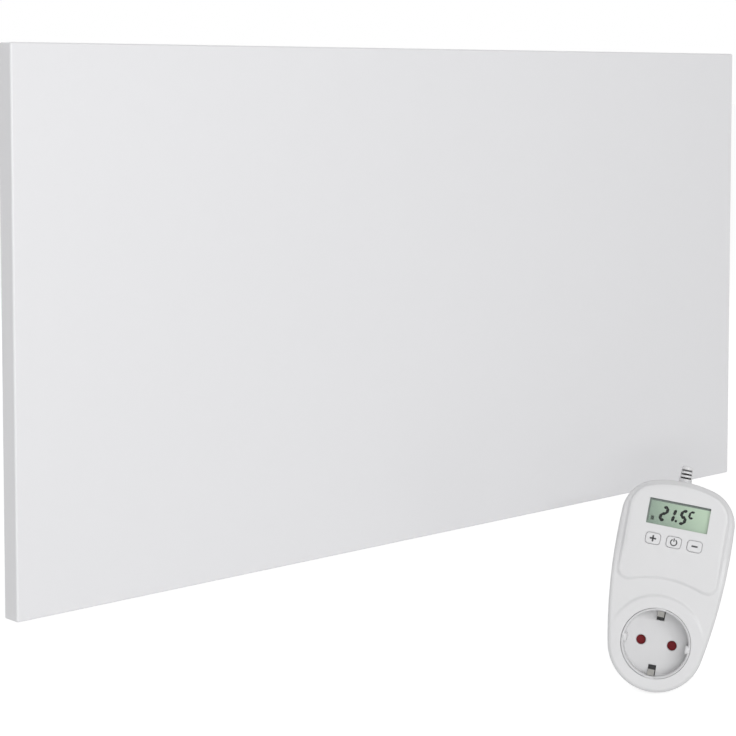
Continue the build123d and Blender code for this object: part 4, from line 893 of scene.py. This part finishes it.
for label, middle in bead_heights.items():
    bead_mesh = grid_mesh("bead_" + label, pressed_bead(middle), sharp_angle=50.0)
    bead = new_piece("bead_" + label, bead_mesh, "panel", "grey_zinc")
    print(bead.name, "faces", len(bead.data.polygons))

# %% [markdown]
# ## Marks on the display and the keys
# The display shows a temperature in slanted seven-segment figures. They could be a Text
# object, but no ordinary typeface has these shapes. A segment is a flat six-sided bar, so a
# figure is up to seven placed bars. All marks are thin flat meshes a few hundredths of a
# millimetre above what they are printed on, because a mark that shares its plane with a
# surface would flicker. The inks are finishes of their own, beside the record's slots.

# %% Inks
add_finishes({
    # The next ink colours a painted shadow: the window frame's shade on the display's top and
    # left.
    "frame_shadow_ink": (moulded_grain, (104, 116, 110), 0.5, 0.0),
    "display_ink": (moulded_grain, (14, 17, 16), 0.6, 0.0, {}, {"Specular IOR Level": 0.1}),
    "key_ink": (moulded_grain, (48, 49, 52), 0.5, 0.0),
})

# %% [markdown]
# ** The frame's shadow.** The window's frame throws a dark shadow onto the recessed cell, a strip
# along the window's top and left, behind the clear window. It is painted shadow: two flat
# strips just under the figures' level stand for it.

# %% The display's painted shadow
cell_half_width, cell_top = 19.3, 86.4
shadow_top, shadow_left, shadow_height = 84.4, -17.6, 12.6
shadow_lift = 0.03
strip_places = [  # middle x, middle y, width, height
    (0.0, (shadow_top + cell_top) / 2, 2 * cell_half_width, cell_top - shadow_top),
    ((shadow_left - cell_half_width) / 2, display_height, cell_half_width + shadow_left,
     shadow_height),
]
shadow_strips = [rounded_rectangle(*place, radius=0.1, per_corner=2) for place in strip_places]
# These strips are painted shadow: the frame's shade along the display's top and left.
new_piece("display_frame_shadow", flat_faces("display_frame_shadow", shadow_strips, glass_front + shadow_lift),
          "panel", "display_glass", finishes["frame_shadow_ink"])
print("strips of the seal", len(shadow_strips))

# %% [markdown]
# **What the display says** is a plain temperature, with a small c that is the upper half of a
# figure, a point, and at the lower left three short upright strokes, a generic sign for
# heating. Each figure is the list of its lit segments, placed and leant over.

# %% Seven-segment figures
figure_height, bar_width, figure_slant = 7.8, 1.85, 0.17
segment_ends = {
    "a": ((0, 1), (1, 1)), "b": ((1, 1), (1, 0.5)), "c": ((1, 0.5), (1, 0)),
    "d": ((0, 0), (1, 0)), "e": ((0, 0.5), (0, 0)), "f": ((0, 1), (0, 0.5)),
    "g": ((0, 0.5), (1, 0.5)),
}
lit_segments = {"2": "abged", "1": "bc", "5": "afgcd", "c": "afg"}


def bar_shape(start, end, thickness):
    """Six corners of a bar from start to end, pointed at both ends."""
    along = (end - start) / np.linalg.norm(end - start)
    across = np.array([-along[1], along[0]]) * thickness / 2
    tip = along * thickness / 2
    return np.array([start, start + tip + across, end - tip + across,
                     end, end - tip - across, start + tip - across])


def figure_bars(figure, x, y, width, height=figure_height, thickness=bar_width):
    """All bars of one figure, placed at x and y and leant over: x grows by slant x height."""
    size = np.array([width, height])
    bars = np.array([
        bar_shape(*(np.array(segment_ends[segment]) * size), thickness)
        for segment in lit_segments[figure]])
    bars[..., 0] += bars[..., 1] * figure_slant
    return bars + np.array([x, y])


print("bars in a 5", figure_bars("5", 0.0, 0.0, 3.0).shape)

# %% Figures on the display
base_line = 73.6
ink_lift = 0.04


def stroke(x, y, width, height):
    """A printed stroke: a rectangle with barely rounded corners."""
    return rounded_rectangle(x, y, width, height, radius=0.15, per_corner=3)


display_shapes = [
    *figure_bars("2", -11.0, base_line, 2.9),
    *figure_bars("1", -6.3, base_line, 2.9),
    *figure_bars("5", 0.8, base_line, 3.0),
    *figure_bars("c", 5.6, base_line + 0.5, 2.6, figure_height - 0.3, 1.35),
    rounded_rectangle(-1.1, base_line + 0.8, 1.5, 1.5, radius=0.6, per_corner=4),
    *[stroke(-15.4 + shift, base_line + 0.2, 0.48, 2.5) for shift in (-0.65, 0, 0.65)],
]
new_piece("display_figures", flat_faces(
    "display_figures", display_shapes, glass_front + ink_lift),
    "panel", "display_glass", finishes["display_ink"])
print("shapes on the display", len(display_shapes))

# %% [markdown]
# **The keys' signs** are printed: a plus, the usual ring and bar for power, and a minus. Each
# is a piece of its own that moves with its key.

# %% Signs on the keys
sign_height, arm, thin = 0.93, 3.9, 1.0


def ring_strip(x, y, radius, thickness, start, end, count=40):
    """Quads along an arc: inner and outer points at each angle."""
    angles = np.radians(np.linspace(start, end, count))
    arms = np.stack([np.cos(angles), np.sin(angles)], axis=1)
    inner = (radius - thickness / 2) * arms + [x, y]
    outer = (radius + thickness / 2) * arms + [x, y]
    return np.stack([inner[:-1], outer[:-1], outer[1:], inner[1:]], axis=1)


plus_x, power_x, minus_x = key_places.values()
signs = {
    "plus": [stroke(plus_x, key_height, arm, thin), stroke(plus_x, key_height, thin, arm)],
    "power": [*ring_strip(power_x, key_height - 0.1, 1.85, 0.7, 118, 422),
              stroke(power_x, key_height + 1.45, 0.7, 2.1)],
    "minus": [stroke(minus_x, key_height, 3.7, thin)],
}
for key, shapes in signs.items():
    sign_mesh = flat_faces("sign_" + key, shapes, sign_height)
    new_piece("sign_" + key, sign_mesh, "button_" + key, "white_plastic", finishes["key_ink"])
    print("sign_" + key, "faces", len(sign_mesh.polygons))

# %% [markdown]
# ## Light, ground and camera
# The photograph is a catalogue cut-out on pure white. Such a background could be had by
# lighting everything more, but that would wash out the white panel. Instead, the Light Path
# node tells what kind of ray asks. The world is white to the camera and to reflections, and
# a mid grey to everything else, so the level on the object is set by the lamps and not by
# the look of the background.

# %% World
grey_level, white_level = 0.42, 1.0


def studio_world():
    """Strength = white level for camera, glossy and transmission rays, grey level for others."""
    world = bpy.data.worlds.new("studio")
    world.use_nodes = True
    tree = world.node_tree
    tree.nodes.clear()
    rays = add_node(tree, "LightPath").outputs
    seen = add_math(tree, "MAXIMUM", rays["Is Camera Ray"], rays["Is Glossy Ray"])
    seen = add_math(tree, "MAXIMUM", seen, rays["Is Transmission Ray"])
    strength = add_node(tree, "MapRange", {
        "Value": seen, "To Min": grey_level, "To Max": white_level})
    sky = add_node(tree, "Background", {
        "Color": (1, 1, 1, 1), "Strength": strength.outputs["Result"]})
    add_node(tree, "OutputWorld", {"Surface": sky.outputs["Background"]})
    return world


bpy.context.scene.world = studio_world()
print("world", grey_level, "for light and", white_level, "for the background")

# %% [markdown]
# **The floor** is a plain diffuse plane for light, and looks almost white to the camera: part
# of what the camera sees there glows, and part is lit, which keeps the soft shadow of the
# object. Glossy surfaces see it plain white, so no lit patch shows up in the panel's enamel.

# %% The floor's finish
def grey_diffuse(tree, level):
    """Diffuse shader of one grey."""
    return add_node(tree, "BsdfDiffuse", {"Color": (level, level, level, 1)}).outputs["BSDF"]


def white_glow(tree, strength):
    """White emission of one strength."""
    return add_node(tree, "Emission", {"Strength": strength}).outputs["Emission"]


def floor_finish(bounce=0.9, lit_level=0.42, glow=0.80):
    """Diffuse white; glow plus lit grey to the camera; plain white in reflections."""
    material = bpy.data.materials.new("pale_floor")
    material.use_nodes = True
    tree = material.node_tree
    tree.nodes.clear()
    rays = add_node(tree, "LightPath").outputs
    seen = add_math(tree, "MAXIMUM", rays["Is Camera Ray"], rays["Is Transmission Ray"])
    both = add_node(
        tree, "AddShader", {0: grey_diffuse(tree, lit_level), 1: white_glow(tree, glow)})
    chosen = grey_diffuse(tree, bounce)
    for switch, shader in ((rays["Is Glossy Ray"], white_glow(tree, 1.0)),
                           (seen, both.outputs["Shader"])):
        inputs = {"Fac": switch, 1: chosen, 2: shader}
        chosen = add_node(tree, "MixShader", inputs).outputs["Shader"]
    add_node(tree, "OutputMaterial", {"Surface": chosen})
    return material


pale_floor = floor_finish()
print("floor finish nodes", len(pale_floor.node_tree.nodes))

# %% The floor
floor_level, floor_reach = float(cad_box[0][2]), 30.0
corners = np.array([(-1, -1), (1, -1), (1, 1), (-1, 1)]) * floor_reach
floor = placed("floor", mesh_of("floor", level_ring(corners, floor_level), [(0, 1, 2, 3)]))
floor.data.materials.append(pale_floor)
print("floor at", round(floor_level, 4), "m")

# %% [markdown]
# **Lamps.** A wide soft lamp stands high in front, a little to the left, which makes the
# panel's left half a touch brighter than its right. It stands high enough for the
# thermostat's shadow to fall almost wholly below the panel. A small one near the camera's
# own direction lifts the lower half, and its shadow hides behind the thermostat. A third,
# behind and above, lights the rails and the box for views from the back.

# %% Lamps
lamp_target = (0.0, -0.05, -0.05)
lamp_table = {  # place, width and height in metres, watts
    "front_lamp": ((-1.0, -2.2, 0.75), 1.8, 0.5, 25.2),
    "low_lamp": ((-1.45, -1.5, -0.06), 0.7, 0.16, 4.0),
    "back_lamp": ((0.2, 1.8, 0.9), 1.4, 1.4, 10.0),
}


def soft_lamp(name, place, width, height, watts):
    """A rectangular area lamp that faces the target and stays out of the picture."""
    data = bpy.data.lights.new(name, "AREA")
    data.shape = "RECTANGLE"
    data.size, data.size_y = width, height
    data.energy = watts
    lamp = placed(name, data)
    lamp.location = place
    lamp.visible_camera = False
    facing = Vector(lamp_target) - Vector(place)
    lamp.rotation_euler = facing.to_track_quat("-Z", "Y").to_euler()
    print(name, round(facing.length, 2), "m away,", watts, "W")


for name, settings in lamp_table.items():
    soft_lamp(name, *settings)

# %% [markdown]
# **Camera.** The panel's corners in the photograph fix the camera: about 1.25 m away, 43
# degrees to the left of straight on, a little below the panel's top edge. A product
# photographer keeps uprights upright with a shifted lens. Half of that framing is done with
# shift here, and the rest with a slight downward pitch, so that other views, which keep the
# shift, still hold the whole object.

# %% Camera
camera_data = bpy.data.cameras.new("camera")
camera_data.lens = 98.75
camera_data.sensor_width = 36.0
camera_data.shift_y = -0.2
camera_data.clip_start, camera_data.clip_end = 0.05, 100.0
camera = placed("camera", camera_data)
azimuth, pitch = math.radians(42.788), math.radians(-3.867)
camera.location = (-0.86568, -0.91043, 0.12844)
look = Vector((
    math.sin(azimuth) * math.cos(pitch), math.cos(azimuth) * math.cos(pitch), math.sin(pitch)))
camera.rotation_mode = "QUATERNION"
camera.rotation_quaternion = look.to_track_quat("-Z", "Y")
bpy.context.scene.camera = camera
bpy.context.scene.view_settings.view_transform = "Standard"
print("camera", round(camera.location.length, 3), "m from the origin, lens", camera_data.lens)

# %% [markdown]
# ## Size
# Dressing must not make the object bigger. The solids' own box, measured before any dressing,
# is written here. The box of all pieces is measured and written
# beside the solids' own box, so that the two can be compared after each render.

# %% The solids' own box
print("cad box", [list(corner) for corner in cad_box])
